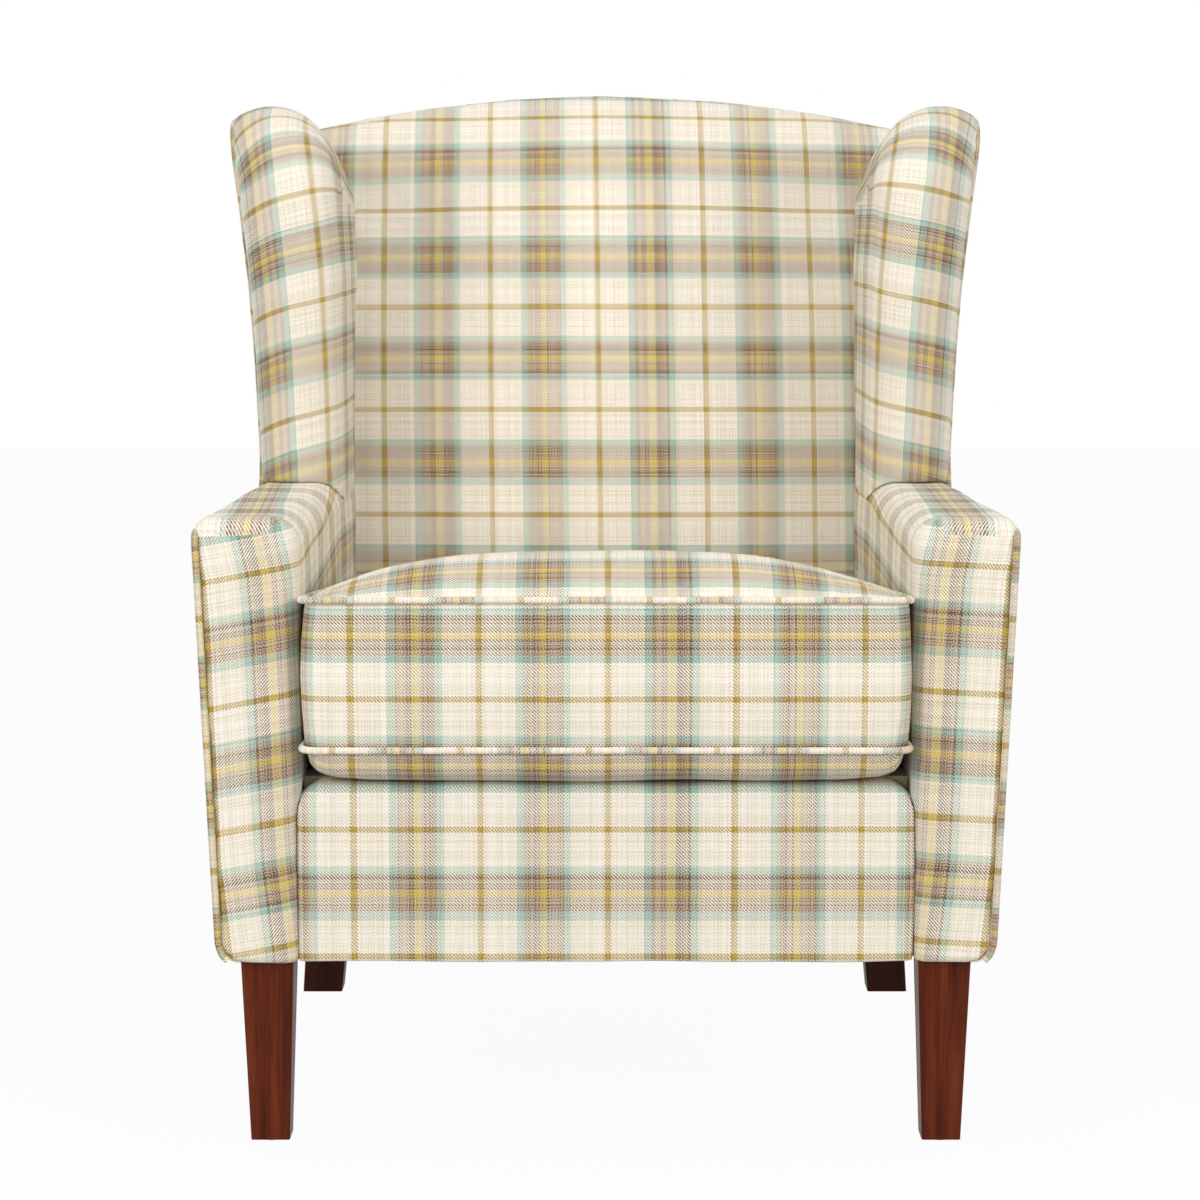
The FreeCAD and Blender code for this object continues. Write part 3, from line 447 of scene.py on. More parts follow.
def cut_seam(piece, at, facing, keep_to=None):
    """Puts a line of edges where a plane crosses the piece, so that a seam can be straight."""
    work = bmesh.new()
    work.from_mesh(piece.data)
    faces = [f for f in work.faces if keep_to is None or keep_to(f)]
    edges = {e for f in faces for e in f.edges}
    verts = {v for f in faces for v in f.verts}
    bmesh.ops.bisect_plane(work, geom=faces + list(edges) + list(verts), dist=1e-5,
                           plane_co=at, plane_no=facing)
    work.to_mesh(piece.data)
    work.free()


def divide(work, longest, rounds, most=60000):
    """Splits the edges that are too long, a few times over, unless the mesh gets too fine."""
    for _ in range(rounds):
        long_edges = [e for e in work.edges if e.calc_length() > longest]
        if not long_edges or len(work.faces) > most:
            break
        bmesh.ops.subdivide_edges(work, edges=long_edges, cuts=1)
        bmesh.ops.triangulate(work, faces=[f for f in work.faces if len(f.verts) > 3])


# %% Laying the cloth
def lay_cloth(piece, rule):
    """Writes the UV map: rule gives the cloth's two coordinates for points, by the middle of their face."""
    mesh = piece.data
    corner = values_of(mesh.loops, "vertex_index", 1, np.int32)[:, 0]
    totals = values_of(mesh.polygons, "loop_total", 1, np.int32)[:, 0]
    face = np.repeat(np.arange(len(totals)), totals)
    shift = np.array([0.0, MIDDLE, 0.0])
    points = points_of(mesh)[corner] + shift
    centres = values_of(mesh.polygons, "center", 3).astype(float)[face] + shift
    uv = np.stack(rule(points, centres), 1).astype(np.float32)
    layer = mesh.uv_layers.get("cloth") or mesh.uv_layers.new(name="cloth")
    layer.data.foreach_set("uv", uv.ravel())


def in_cloth(piece, material=None):
    piece.data.materials.clear()
    piece.data.materials.append(material or tartan_cloth)


print("skins ready")

# %% [markdown]
# ## Stuffing with cloth simulation
# Foam and wadding press the cover outwards between its seams. The cloth solver does that: the skin is
# given a little pressure, its seams are held, and after a few steps the result is kept. How far a point
# may move is capped, because foam holds a cover back in a way that air doesn't.

# %% Stuffing
SIM_STEPS = 14


def stuffed(piece, held, pressure, cap):
    """Swells the piece: held is 1 where a seam or tack holds it, cap is how far a point may go."""
    before = points_of(piece.data)
    group = piece.vertex_groups.new(name="held")
    for level in (1.0, 0.3):
        chosen = np.nonzero(np.abs(held - level) < 0.16)[0].tolist()
        group.add(chosen, level, "REPLACE")
    cloth = piece.modifiers.new("stuffing", "CLOTH")
    for name, value in (("quality", 5), ("mass", 0.3), ("tension_stiffness", 12.0),
                        ("compression_stiffness", 12.0), ("shear_stiffness", 5.0),
                        ("bending_stiffness", 0.6), ("use_pressure", True),
                        ("uniform_pressure_force", pressure), ("vertex_group_mass", "held")):
        setattr(cloth.settings, name, value)
    cloth.settings.effector_weights.gravity = 0.0
    cloth.collision_settings.use_collision = False
    cloth.point_cache.frame_start = 1
    cloth.point_cache.frame_end = SIM_STEPS
    scene = bpy.context.scene
    for step in range(1, SIM_STEPS + 1):
        scene.frame_set(step)
    settled(piece)
    scene.frame_set(1)
    move = points_of(piece.data) - before
    far = np.linalg.norm(move, axis=1, keepdims=True)
    limit = np.maximum(1e-9, np.broadcast_to(np.asarray(cap, float).reshape(-1, 1), far.shape))
    move *= limit / (limit + far)
    move_points(piece.data, before + move)
    piece.data.shade_smooth()
    piece.vertex_groups.clear()
    print(piece.name, "swelled by up to", round(float(np.linalg.norm(move, axis=1).max()) * 1000, 1), "mm")


# %% [markdown]
# ## Arms
# The inside of the arm, its rolled top and its front are one length of cloth. It comes up the inside,
# rolls over the top to the outer piping, and wraps round the front edge, where a short dart across the
# front takes up the spare cloth. The cloth's coordinates are measured along those rolls.

# %% Arm cloth
DART_X = 0.306
DART_Z = 0.5695
DART_SLOPE = 0.036            # the dart drops a little towards the piping
ROLL_EASE = 0.6               # the cloth is drawn short over the inner roll
# where the straw thread crosses the front: its half width at each height
ARM_LEAN_Z = (0.18, 0.27, 0.40, 0.48, 0.53, 0.57)
ARM_LEAN_X = (0.2880, 0.2975, 0.3020, 0.3047, 0.3080, 0.3165)


def arm_rule(side, phase, front_slope, inside_slope):
    r, roll, over = ARM_FRONT_ROLL, ARM_ROLL, ARM_SHOULDER

    def rule(p, centre):
        x, y, z = side * p[:, 0], p[:, 1], p[:, 2]
        cx, cy, cz = side * centre[:, 0], centre[:, 1], centre[:, 2]
        dx = x - inner_x(y)
        # round the front edge
        turn = np.arctan2(np.maximum(0.0, r - y), np.maximum(1e-6, r - dx))
        wrap = np.where(dx > r, r * math.pi / 2 + dx - r, r * turn)
        wrap = np.where(y > r, r - y, wrap)
        # up the inside and over the roll
        top = ARM_TOP - roll
        bend = np.arctan2(np.maximum(0.0, z - top), np.maximum(1e-6, roll - dx))
        rolled = np.where(dx > roll, ROLL_EASE * roll * math.pi / 2 + dx - roll, ROLL_EASE * roll * bend)
        rise = np.where(z <= top, z, top + rolled)
        # over the top, and down to the dart at the front
        turned = over * np.arctan2(np.maximum(0.0, over - y), np.maximum(1e-6, z - (ARM_TOP - over)))
        turned = np.where((z < ARM_TOP - over) & (y < over), over * math.pi / 2 + ARM_TOP - over - z, turned)
        fall = np.where(y > over, r - y, r - over + 0.5 * turned)
        above = (cz > DART_Z - DART_SLOPE * (cx - DART_X)) & (cx > DART_X)
        front = (cy < 0.03) & ~above
        lean = np.interp(z, ARM_LEAN_Z, ARM_LEAN_X) - ARM_INNER + r * math.pi / 2 - r
        lean = np.where(above, lean.max(), lean)
        along = np.where(front, z + front_slope * np.clip(dx, 0.0, 0.1), rise)
        along = along - inside_slope * np.clip(y - 0.05, 0.0, 0.36)
        return np.where(above, fall, wrap) - lean + REPEAT / 2 + phase[0], along - phase[1]

    return rule


def on_arm_front(face):
    c = face.calc_center_median()
    return c.y < -MIDDLE + 0.022 and abs(c.x) > 0.304 and face.normal.y < -0.35


def reach_piping(piece, side, stretch=0.0022):
    """Draws the skin out to the piping, which the remesh and the smoothing have pulled it away from."""
    co = points_of(piece.data)
    edge = np.array([side_x(y + MIDDLE, z) for y, z in zip(co[:, 1], co[:, 2])])
    near = smoothstep(0.022, 0.002, edge - side * co[:, 0])
    co[:, 0] += side * stretch * near
    move_points(piece.data, co)


arms = {}
for word, side, phase, slopes in (("left", -1, (0.0, 0.5408), (0.19, 0.076)),
                                  ("right", 1, (0.0, 0.5435), (0.055, 0.05))):
    arm = closed_skin(word + "_arm", (word + "_arm_cover", word + "_arm_foam"), 0.0032, 3)
    reach_piping(arm, side)
    cut_seam(arm, (side * DART_X, 0.0, DART_Z), (side * DART_SLOPE, 0.0, 1.0), on_arm_front)
    lay_cloth(arm, arm_rule(side, phase, *slopes))
    in_cloth(arm)
    arms[word] = arm
    print(arm.name, len(arm.data.polygons), "faces")

# %% [markdown]
# ## Wings
# Each wing is one cloth that rolls round the front edge from the inside to the piping. At the top front
# corner the roll turns back, and the cloth turns with it. The upholsterer pulls the cloth down towards
# the outside, so its weft runs downhill there, more steeply the nearer it gets to the piping.

# %% Wing cloth
NOSE_X = 0.318                # middle of the wing's front roll, low down
NOSE_DEPTH = 0.044


def wing_rule(side, phase, pull, curl, ease):
    welt_reach = WING_AXIS_Y - WING_WELT

    def rule(p, centre):
        x, y, z = side * p[:, 0], p[:, 1], p[:, 2]
        back_y, up_z = y - WING_AXIS_Y, z - WING_AXIS_Z        # from the axis of the top corner
        turn = np.clip(np.arctan2(np.maximum(0.0, up_z), -back_y), 0.0, math.pi / 2)
        reach = np.where(up_z > 0.0, np.hypot(np.maximum(0.0, -back_y), up_z), -back_y)
        reach = np.where((back_y > 0.0) & (up_z > 0.0), up_z + WING_TOP_SLOPE * back_y, reach)
        # round the nose: 0 at the piping, half a turn on the inside
        outer = np.vectorize(side_x)(y, z)
        nose = NOSE_X + 0.6 * (outer - side_x(WING_WELT, 0.6))
        out = np.clip(reach - welt_reach, 0.0, None)
        wide = np.where(x > nose, np.maximum(0.02, outer - nose), nose - WING_INNER)
        angle = np.arctan2(out / NOSE_DEPTH, (x - nose) / wide) / (math.pi / 2)
        span = 0.25 * math.pi * (wide + NOSE_DEPTH)
        quarter = 0.25 * math.pi * (outer - nose + NOSE_DEPTH)
        from_welt = np.where(angle < 1.0, quarter * angle, quarter + span * (angle - 1.0))
        from_welt = np.where(reach < welt_reach, quarter + span + welt_reach - reach, from_welt)
        # up the wing, and round its top corner
        on_roll = smoothstep(welt_reach - 0.045, welt_reach + 0.005, reach)
        bent = WING_AXIS_Z + 0.106 * turn + np.maximum(0.0, back_y)
        rise = np.where(up_z > 0.0, z * (1 - on_roll) + bent * on_roll, z)
        s = np.clip(from_welt, 0.0, 0.13)
        pulled = pull * s - curl * s * s
        eased = ease * np.clip(z - 0.76, 0.0, None) * np.clip(1.0 - s / 0.11, 0.0, 1.0)
        return phase[0] - from_welt, (rise - pulled + eased - phase[1]) * 1.03

    return rule


wings = {}
for word, side, phase, run in (("left", -1, (0.100, 0.7403), (0.42, 1.1, 0.07)),
                               ("right", 1, (0.110, 0.7565), (0.21, 0.0, 0.0))):
    wing = closed_skin(word + "_wing", (word + "_wing_cover", word + "_wing_foam"), 0.0032, 3)
    reach_piping(wing, side)
    lay_cloth(wing, wing_rule(side, phase, *run))
    in_cloth(wing)
    wings[word] = wing
    print(wing.name, len(wing.data.polygons), "faces")

# %% [markdown]
# ## Back
# The inside back is one panel that swells in the middle and rolls over the crest to the rear piping.
# Its cloth is measured down from the crest along the middle of the panel.

# %% Back cloth
def arc_points(a, b, c):
    """Points along the arc from a to c through b, in a plane."""
    (ax, ay), (bx, by), (cx, cy) = a, b, c
    d = 2 * (ax * (by - cy) + bx * (cy - ay) + cx * (ay - by))
    aa, bb, cc = ax * ax + ay * ay, bx * bx + by * by, cx * cx + cy * cy
    ux = (aa * (by - cy) + bb * (cy - ay) + cc * (ay - by)) / d
    uy = (aa * (cx - bx) + bb * (ax - cx) + cc * (bx - ax)) / d
    radius = math.hypot(ax - ux, ay - uy)
    turns = np.unwrap([math.atan2(q[1] - uy, q[0] - ux) for q in (a, b, c)])
    steps = np.linspace(turns[0], turns[2], 40)
    return np.stack([ux + radius * np.cos(steps), uy + radius * np.sin(steps)], 1)


# depth and height along the panel's middle line, as three arcs
BACK_ARCS = (((0.567, 0.3397), (0.573, 0.460), (0.587, 0.590)),
             ((0.587, 0.590), (0.621, 0.750), (0.688, 0.915)),
             ((0.688, 0.915), (0.713, 0.963), (0.757, 0.990)))
CREST_Y = 0.757
STRIPE_X = 0.0014             # the middle stripe stands this far to the right of the chair's middle

back_line = np.concatenate([arc_points(*arc)[min(i, 1):] for i, arc in enumerate(BACK_ARCS)])
back_run = np.concatenate([[0.0], np.cumsum(np.hypot(*np.diff(back_line, axis=0).T))])
back_fall = back_run[-1] - back_run


def back_rule(p, centre):
    x, y, z = p[:, 0], p[:, 1], p[:, 2]
    over = np.maximum(0.0, y - CREST_Y)
    level = np.where(over > 0.0, BACK_TOP - crest_drop(x), z)
    share = np.interp(level, (0.59, 0.75, 0.90), (0.0, 0.35, 1.0))
    fall = np.interp(level + 0.15 * crest_drop(x) * share, back_line[:, 1], back_fall) - over
    across = x + 0.0111 - 0.0057 * (fall - 0.04) / 0.46
    return across, -(fall - 0.0482) * 1.022


back = closed_skin("inside_back", ("inside_back_cover", "back_foam"), 0.0045, 4)
lay_cloth(back, back_rule)
in_cloth(back)
print("inside back:", len(back.data.polygons), "faces")

# %% [markdown]
# ## Border
# The padded panel under the cushion runs between the arms, with rounded top corners. Its cloth hangs
# straight, in step with the cushion above it.

# %% Border cloth
def border_rule(p, centre):
    x, y, z = p[:, 0], p[:, 1], p[:, 2]
    over = np.clip(y - 0.012, 0.0, None)
    return x - STRIPE_X, (z + over * (z > 0.3) - 0.2969) * 0.985


border = closed_skin("border", ("border_cover", "border_pad"), 0.003, 3)
co = points_of(border.data)
co[:, 0] += np.sign(co[:, 0]) * 0.0035 * smoothstep(0.24, 0.275, np.abs(co[:, 0]))
move_points(border.data, co)
lay_cloth(border, border_rule)
in_cloth(border)
print("border:", len(border.data.polygons), "faces")

# %% [markdown]
# ## Seat cushion
# A box cushion: a crowned panel on top and one below, and a band between them, the boxing, with piping
# in both seams. The skin is cut along the two seams before the cloth is laid, so each panel has its own
# cloth. In the boxing it runs round the cushion, and on the panels from front to back.

# %% Cushion cloth
CUSHION_FRONT = -0.018
CUSHION_REAR = 0.546
CUSHION_MIDDLE = 0.264
CUSHION_HALF = 0.275          # half width at the front; the rear is 12 mm narrower on each side
CUSHION_BOTTOM = 0.3404
CUSHION_CROWN = 0.0415
CUSHION_PITCH = 0.075


def around(x, y):
    """Distance round the cushion from the middle of its front, positive to the right."""
    far, behind = np.abs(x), y - CUSHION_FRONT
    on_front = (y < 0.0) & (far < CUSHION_HALF - 0.018)
    bent = far + np.clip(behind, 0.0, 0.02) * (far > CUSHION_HALF - 0.03)
    on_rear = CUSHION_HALF + CUSHION_REAR - CUSHION_FRONT + 0.263 - far
    on_side = np.where(far > 0.235, CUSHION_HALF + behind, bent)
    run = np.where(on_front, far, np.where(y > 0.53, on_rear, on_side))
    run = np.where((y < 0.006) & ~on_front, bent, run)
    return np.sign(x + 1e-9) * run


def seam_high(y):
    """Height of the upper seam, which falls towards the rear as the cushion settles."""
    return CUSHION_HIGH - CUSHION_PITCH * (y - CUSHION_FRONT)


def crown(x, y):
    """Rise of the top panel above its seam: steep behind the front, then falling gently to the rear."""
    half = CUSHION_HALF - 0.012 * (y - CUSHION_FRONT) / (CUSHION_REAR - CUSHION_FRONT)
    side = np.clip(1.0 - np.abs(x) / half, 0.0, 1.0)
    front = np.clip((y - CUSHION_FRONT) / 0.085, 0.0, 1.0)
    rear = np.clip((CUSHION_REAR - y) / 0.100, 0.0, 1.0)
    height = CUSHION_CROWN * (1.0 - 1.1 * np.clip(y - 0.065, 0.0, 1.0))
    return height * (1.0 - (1.0 - side) ** 3.6) * (1.0 - (1.0 - front) ** 2.4) * (1.0 - (1.0 - rear) ** 2.4)


def settle_cushion(piece, inset=0.0):
    """Takes the frame's plain box shape to the settled one: pitched, crowned, and fuller below."""
    co = points_of(piece.data)
    y, z = co[:, 1] + MIDDLE, co[:, 2]
    high = seam_high(y)
    share = np.clip((z - FRAME_LOW) / (FRAME_HIGH - FRAME_LOW), 0.0, 1.0)
    depth = np.clip((FRAME_LOW - z) / (FRAME_LOW - CUSHION_BOTTOM), 0.0, 1.0)
    under = CUSHION_LOW - (CUSHION_LOW - CUSHION_BOTTOM) * (1.0 - (1.0 - depth) ** 2.4) + inset
    co[:, 2] = np.where(z > FRAME_HIGH, high + crown(co[:, 0], y) - inset,
                        np.where(z < FRAME_LOW, under, CUSHION_LOW + share * (high - CUSHION_LOW)))
    move_points(piece.data, co)


top_y = np.linspace(CUSHION_FRONT, CUSHION_REAR, 300)
top_steps = np.hypot(np.diff(top_y), np.diff(seam_high(top_y) + crown(0.0, top_y)))
top_run = np.concatenate([[0.0], np.cumsum(top_steps)])


def cushion_rule(p, centre):
    x, y, z = p[:, 0], p[:, 1], p[:, 2]
    above, below = centre[:, 2] > seam_high(centre[:, 1]), centre[:, 2] < CUSHION_LOW
    over_top = np.interp(y, top_y, top_run)
    under = np.hypot(y - CUSHION_FRONT, z - CUSHION_LOW)
    across = np.where(above | below, x, around(x, y))
    along = np.where(above, over_top - 0.0385 + REPEAT / 2, z - 0.4213)
    along = np.where(below, 0.0746 - under, along)
    return across - STRIPE_X, along


cushion_sources = ("cushion_top_panel", "cushion_bottom_panel", "cushion_boxing", "cushion_foam")
cushion = closed_skin("seat_cushion", cushion_sources, 0.005, 3)
settle_cushion(cushion)
cut_seam(cushion, (0.0, 0.0, CUSHION_LOW), (0.0, 0.0, 1.0))
cut_seam(cushion, (0.0, CUSHION_FRONT - MIDDLE, CUSHION_HIGH), (0.0, CUSHION_PITCH, 1.0))
lay_cloth(cushion, cushion_rule)
in_cloth(cushion)
print("cushion:", len(cushion.data.polygons), "faces")

# %% [markdown]
# ## Stuffing the soft pieces
# The solver swells the cushion and the back, whose cloth lies over soft filling: the cushion's front most,
# the back by up to four millimetres where it can be seen. The arms, wings and border are pulled tight
# over firm foam and keep the frame's shape. Neighbours that touch are held where they meet, so no piece
# pushes into the next.

# %% Swell the cushion and the back
def from_seam(p):
    return np.minimum(np.abs(p[:, 2] - seam_high(p[:, 1] + MIDDLE)), np.abs(p[:, 2] - CUSHION_LOW))


def off_centre(p):
    """Distance from the cushion's middle, forwards or backwards."""
    return np.abs(p[:, 1] + MIDDLE - CUSHION_MIDDLE)


co, no = points_of(cushion.data), normals_of(cushion.data)
near = from_seam(co)
on_edge = np.maximum(np.abs(co[:, 0]) / CUSHION_HALF, off_centre(co) / 0.282) > 0.95
cushion_held = np.where((near < 0.003) & on_edge, 1.0, np.where((near < 0.008) & on_edge, 0.3, 0.0))
cushion_cap = np.select([no[:, 2] > 0.5, no[:, 2] < -0.5, no[:, 1] < -0.5], [0.0015, 0.0004, 0.0035], 0.0015)
stuffed(cushion, cushion_held, 3.0, cushion_cap)

co, no = points_of(back.data), normals_of(back.data)
in_view = smoothstep(0.0, 0.03, WING_INNER - np.abs(co[:, 0])) * smoothstep(0.50, 0.56, co[:, 2])
back_held = np.where((no[:, 1] > -0.2) | (in_view < 0.05), 1.0, 0.0)
stuffed(back, back_held, 2.5, 0.004 * in_view + 0.0004)

# %% [markdown]
# ## Puckers and pulls
# Cloth that is sewn to piping or pulled over an edge shows short soft ripples at right angles to the
# seam. They are about a millimetre deep and fade out within a few centimetres. A sum of a few waves
# with fixed phases gives them, pushed along each point's normal. Longer waves unsettle every padded piece.

# %% Ripples along the seams
def ripples(piece, along, distance, depth, length, fade, seed):
    """Moves points in and out: along is the run beside the seam, distance the way from it, in metres."""
    rng = np.random.default_rng(seed)
    wave = np.zeros(len(along))
    for _ in range(6):
        size = length * (0.7 + 0.9 * rng.random())
        wave += np.sin(along * 2 * math.pi / size + rng.random() * 6.28
                       + 40.0 * distance * (rng.random() - 0.5))
    strength = depth / 2.4 * np.exp(-distance / fade) * (1.0 - np.exp(-distance / 0.004))
    sway = 0.5 + 0.5 * np.sin(along * 2 * math.pi / 0.11 + seed)
    co, no = points_of(piece.data), normals_of(piece.data)
    move_points(piece.data, co + no * (wave * strength * (0.45 + 0.55 * sway))[:, None])


def spread_waves(piece, depth, size, seed):
    """Broad soft unevenness, a millimetre or so, as hand-laid wadding gives."""
    rng = np.random.default_rng(seed)
    co, no = points_of(piece.data), normals_of(piece.data)
    wave = np.zeros(len(co))
    for _ in range(7):
        way = rng.normal(size=3)
        way /= np.linalg.norm(way) * size * (0.6 + 0.9 * rng.random())
        wave += np.sin(2 * math.pi * (co @ way) + rng.random() * 6.28)
    move_points(piece.data, co + no * (depth * (wave / 3.2 + 0.4))[:, None])


co = points_of(cushion.data)
run = np.where(off_centre(co) > 0.255, co[:, 0], co[:, 1])
far_in = np.maximum(np.abs(co[:, 0]), off_centre(co)) <= 0.285 - 0.04       # ripples keep to the edge
ripples(cushion, run, from_seam(co) + np.where(far_in, 0.3, 0.0), 0.0011, 0.022, 0.022, 3)
spread_waves(cushion, 0.0009, 0.16, 5)
spread_waves(back, 0.0012, 0.20, 8)
for index, piece in enumerate((arms["left"], arms["right"], wings["left"], wings["right"], border)):
    spread_waves(piece, 0.0004 if piece in wings.values() else 0.0007, 0.12, 20 + index)
print("ripples done")

# %% [markdown]
# ## Outside covers
# The outside of the arms, of the wings and of the back are plain stretched panels over card. They copy
# the frame's thin covers, with their long faces divided so that they can ripple a little, and their
# cloth hangs straight down, measured along Y or X and Z.

# %% Outside panels
PANEL_WAVE = 0.0004


def panel(name, source, rule, seed):
    piece = frame_copy(name, (source,))
    work = bmesh.new()
    work.from_mesh(piece.data)
    divide(work, 0.02, 7)
    for edge in work.edges:
        if len(edge.link_faces) == 2 and edge.calc_face_angle() > 0.6:
            edge.smooth = False
    for face in work.faces:
        face.smooth = True
    work.to_mesh(piece.data)
    work.free()
    rng = np.random.default_rng(seed)
    co, no = points_of(piece.data), normals_of(piece.data)
    run = co[:, 1] if abs(no[:, 0]).mean() > abs(no[:, 1]).mean() else co[:, 0]
    wave = np.zeros(len(co))
    for _ in range(6):
        a, b = rng.normal(size=2)
        wave += np.sin((a * run + 0.35 * b * co[:, 2]) * 2 * math.pi / 0.12 + rng.random() * 6.28)
    sideways = source.startswith(("left", "right"))
    push = np.sign(co[:, 0]) if sideways else 1.0
    co[:, 0 if sideways else 1] += push * PANEL_WAVE * wave / 3.0
    move_points(piece.data, co)
    lay_cloth(piece, rule)
    in_cloth(piece)
    return piece


def side_rule(side):
    def rule(p, centre):
        return side * (p[:, 1] - 0.02), p[:, 2] - 0.4134
    return rule


def rear_rule(p, centre):
    return -p[:, 0] + STRIPE_X, (p[:, 2] - 0.4213) * 1.02


outside = {}
for word, side in (("left", -1), ("right", 1)):
    for place in ("arm", "wing"):
        source = word + "_outside_" + place + "_cover"
        outside[source] = panel(word + "_outside_" + place, source, side_rule(side), len(outside) + 2)
outside["outside_back_cover"] = panel("outside_back", "outside_back_cover", rear_rule, 11)
print("outside panels:", [len(p.data.polygons) for p in outside.values()])

# %% [markdown]
# ## Piping
# Piping is a cord in a strip of the same cloth, sewn into the seam. It follows a path, so Geometry Nodes
# sweeps it: the tree takes a curve, divides it evenly, sweeps a ring along it and stores the run along
# and around the cord as the cloth's coordinates. One tree serves every length of piping, and the same
# few helpers serve the tree that lays staples and zip teeth further on.

# %% Helpers for trees that grow things from lines
def new_tree(name, inputs, output):
    """An empty tree with its sockets: what wires it, and what it is given."""
    tree = bpy.data.node_groups.new(name, "GeometryNodeTree")
    for socket, kind in inputs:
        tree.interface.new_socket(socket, in_out="INPUT", socket_type="NodeSocket" + kind)
    tree.interface.new_socket(output, in_out="OUTPUT", socket_type="NodeSocketGeometry")
    w = Wiring(tree)
    return w, w.add("NodeGroupInput").outputs


def end_tree(w, geometry, finish, output):
    real = w.add("GeometryNodeRealizeInstances", {"Geometry": geometry})
    coloured = w.add("GeometryNodeSetMaterial", {"Geometry": real.outputs[0], "Material": finish})
    w.add("NodeGroupOutput", {output: coloured.outputs[0]})
    return w.tree


def drawn(name, paths, closed=False):
    """A curve through each path's points."""
    curve = bpy.data.curves.new(name, "CURVE")
    curve.dimensions = "3D"
    for path in paths:
        spline = curve.splines.new("POLY")
        spline.points.add(len(path) - 1)
        for point, place in zip(spline.points, path):
            point.co = (*place, 1.0)
        spline.use_cyclic_u = closed
    return in_scene(name, curve)


def as_mesh(line):
    """Puts the mesh that a curve shows in the curve's place."""
    name, curve, mesh = line.name, line.data, mesh_of(line)
    bpy.data.objects.remove(line)
    bpy.data.curves.remove(curve)
    mesh.name = name
    return in_scene(name, mesh)


def grown(line, tree, inputs):
    """What the tree makes of a line."""
    modifier = line.modifiers.new("grow", "NODES")
    modifier.node_group = tree
    for socket in tree.interface.items_tree:
        if socket.name in inputs:
            modifier[socket.identifier] = inputs[socket.name]
    return as_mesh(line)


# %% Piping tree
def piping_tree():
    w, given = new_tree("covered_cord", (("Path", "Geometry"), ("Radius", "Float"), ("Step", "Float"),
                                         ("Start", "Float"), ("Across", "Float"), ("Seed", "Int"),
                                         ("Cloth", "Material")), "Cord")

    def store(geometry, name, value, kind="FLOAT", domain="POINT"):
        return w.add("GeometryNodeStoreNamedAttribute", {"Geometry": geometry, "Name": name, "Value": value},
                     data_type=kind, domain=domain).outputs[0]

    def stored(name):
        return w.add("GeometryNodeInputNamedAttribute", {"Name": name}, data_type="FLOAT").outputs[0]

    even = w.add("GeometryNodeResampleCurve", {"Curve": given["Path"], "Length": given["Step"]},
                 mode="LENGTH")
    # the covering is a little uneven in thickness
    place = w.add("GeometryNodeInputPosition").outputs[0]
    lump = w.add("ShaderNodeTexNoise", {"Vector": place, "W": given["Seed"], "Scale": 38.0, "Detail": 1.0},
                 noise_dimensions="4D").outputs[0]
    size = w.math("MULTIPLY_ADD", lump, 0.16, 0.92)
    spot = w.add("GeometryNodeSplineParameter").outputs
    ring = w.add("GeometryNodeCurvePrimitiveCircle", {"Resolution": 14, "Radius": given["Radius"]},
                 mode="RADIUS").outputs[0]
    swept = w.add("GeometryNodeCurveToMesh",
                  {"Curve": store(even.outputs[0], "run", spot["Length"]),
                   "Profile Curve": store(ring, "turn", spot["Factor"]), "Fill Caps": True, "Scale": size})
    girth = w.math("MULTIPLY", given["Radius"], 2 * math.pi)
    around_cord = w.math("MULTIPLY_ADD", stored("turn"), girth, given["Across"])
    along_cord = w.math("ADD", stored("run"), given["Start"])
    pair = w.add("ShaderNodeCombineXYZ", {0: around_cord, 1: along_cord}).outputs[0]
    cord = store(swept.outputs[0], "cloth", pair, "FLOAT2", "CORNER")
    smooth = w.add("GeometryNodeSetShadeSmooth", {"Geometry": cord})
    return end_tree(w, smooth.outputs[0], given["Cloth"], "Cord")


cord_tree = piping_tree()


# %% Piping paths
def rounded_path(points, reach, closed=False):
    """A path whose corners are rounded, as a list of points."""
    points = [np.array(p, float) for p in points]
    count = len(points)
    path = []
    for i in range(count):
        if not closed and i in (0, count - 1):
            path.append(points[i])
            continue
        before, here, after = points[i - 1], points[i], points[(i + 1) % count]
        into, out = here - before, after - here
        far = min(reach, 0.45 * np.linalg.norm(into), 0.45 * np.linalg.norm(out))
        first = here - into / np.linalg.norm(into) * far
        last = here + out / np.linalg.norm(out) * far
        for t in np.linspace(0.0, 1.0, 7):
            path.append((1 - t) ** 2 * first + 2 * t * (1 - t) * here + t * t * last)
    return path


def piping(name, path, closed=False, start=0.0, across=0.006, seed=0):
    line = drawn(name, [[(x, y - MIDDLE, z) for x, y, z in path]], closed)
    return grown(line, cord_tree, {"Radius": WELT, "Step": 0.003, "Start": start, "Across": across,
                                   "Seed": seed, "Cloth": tartan_cloth})


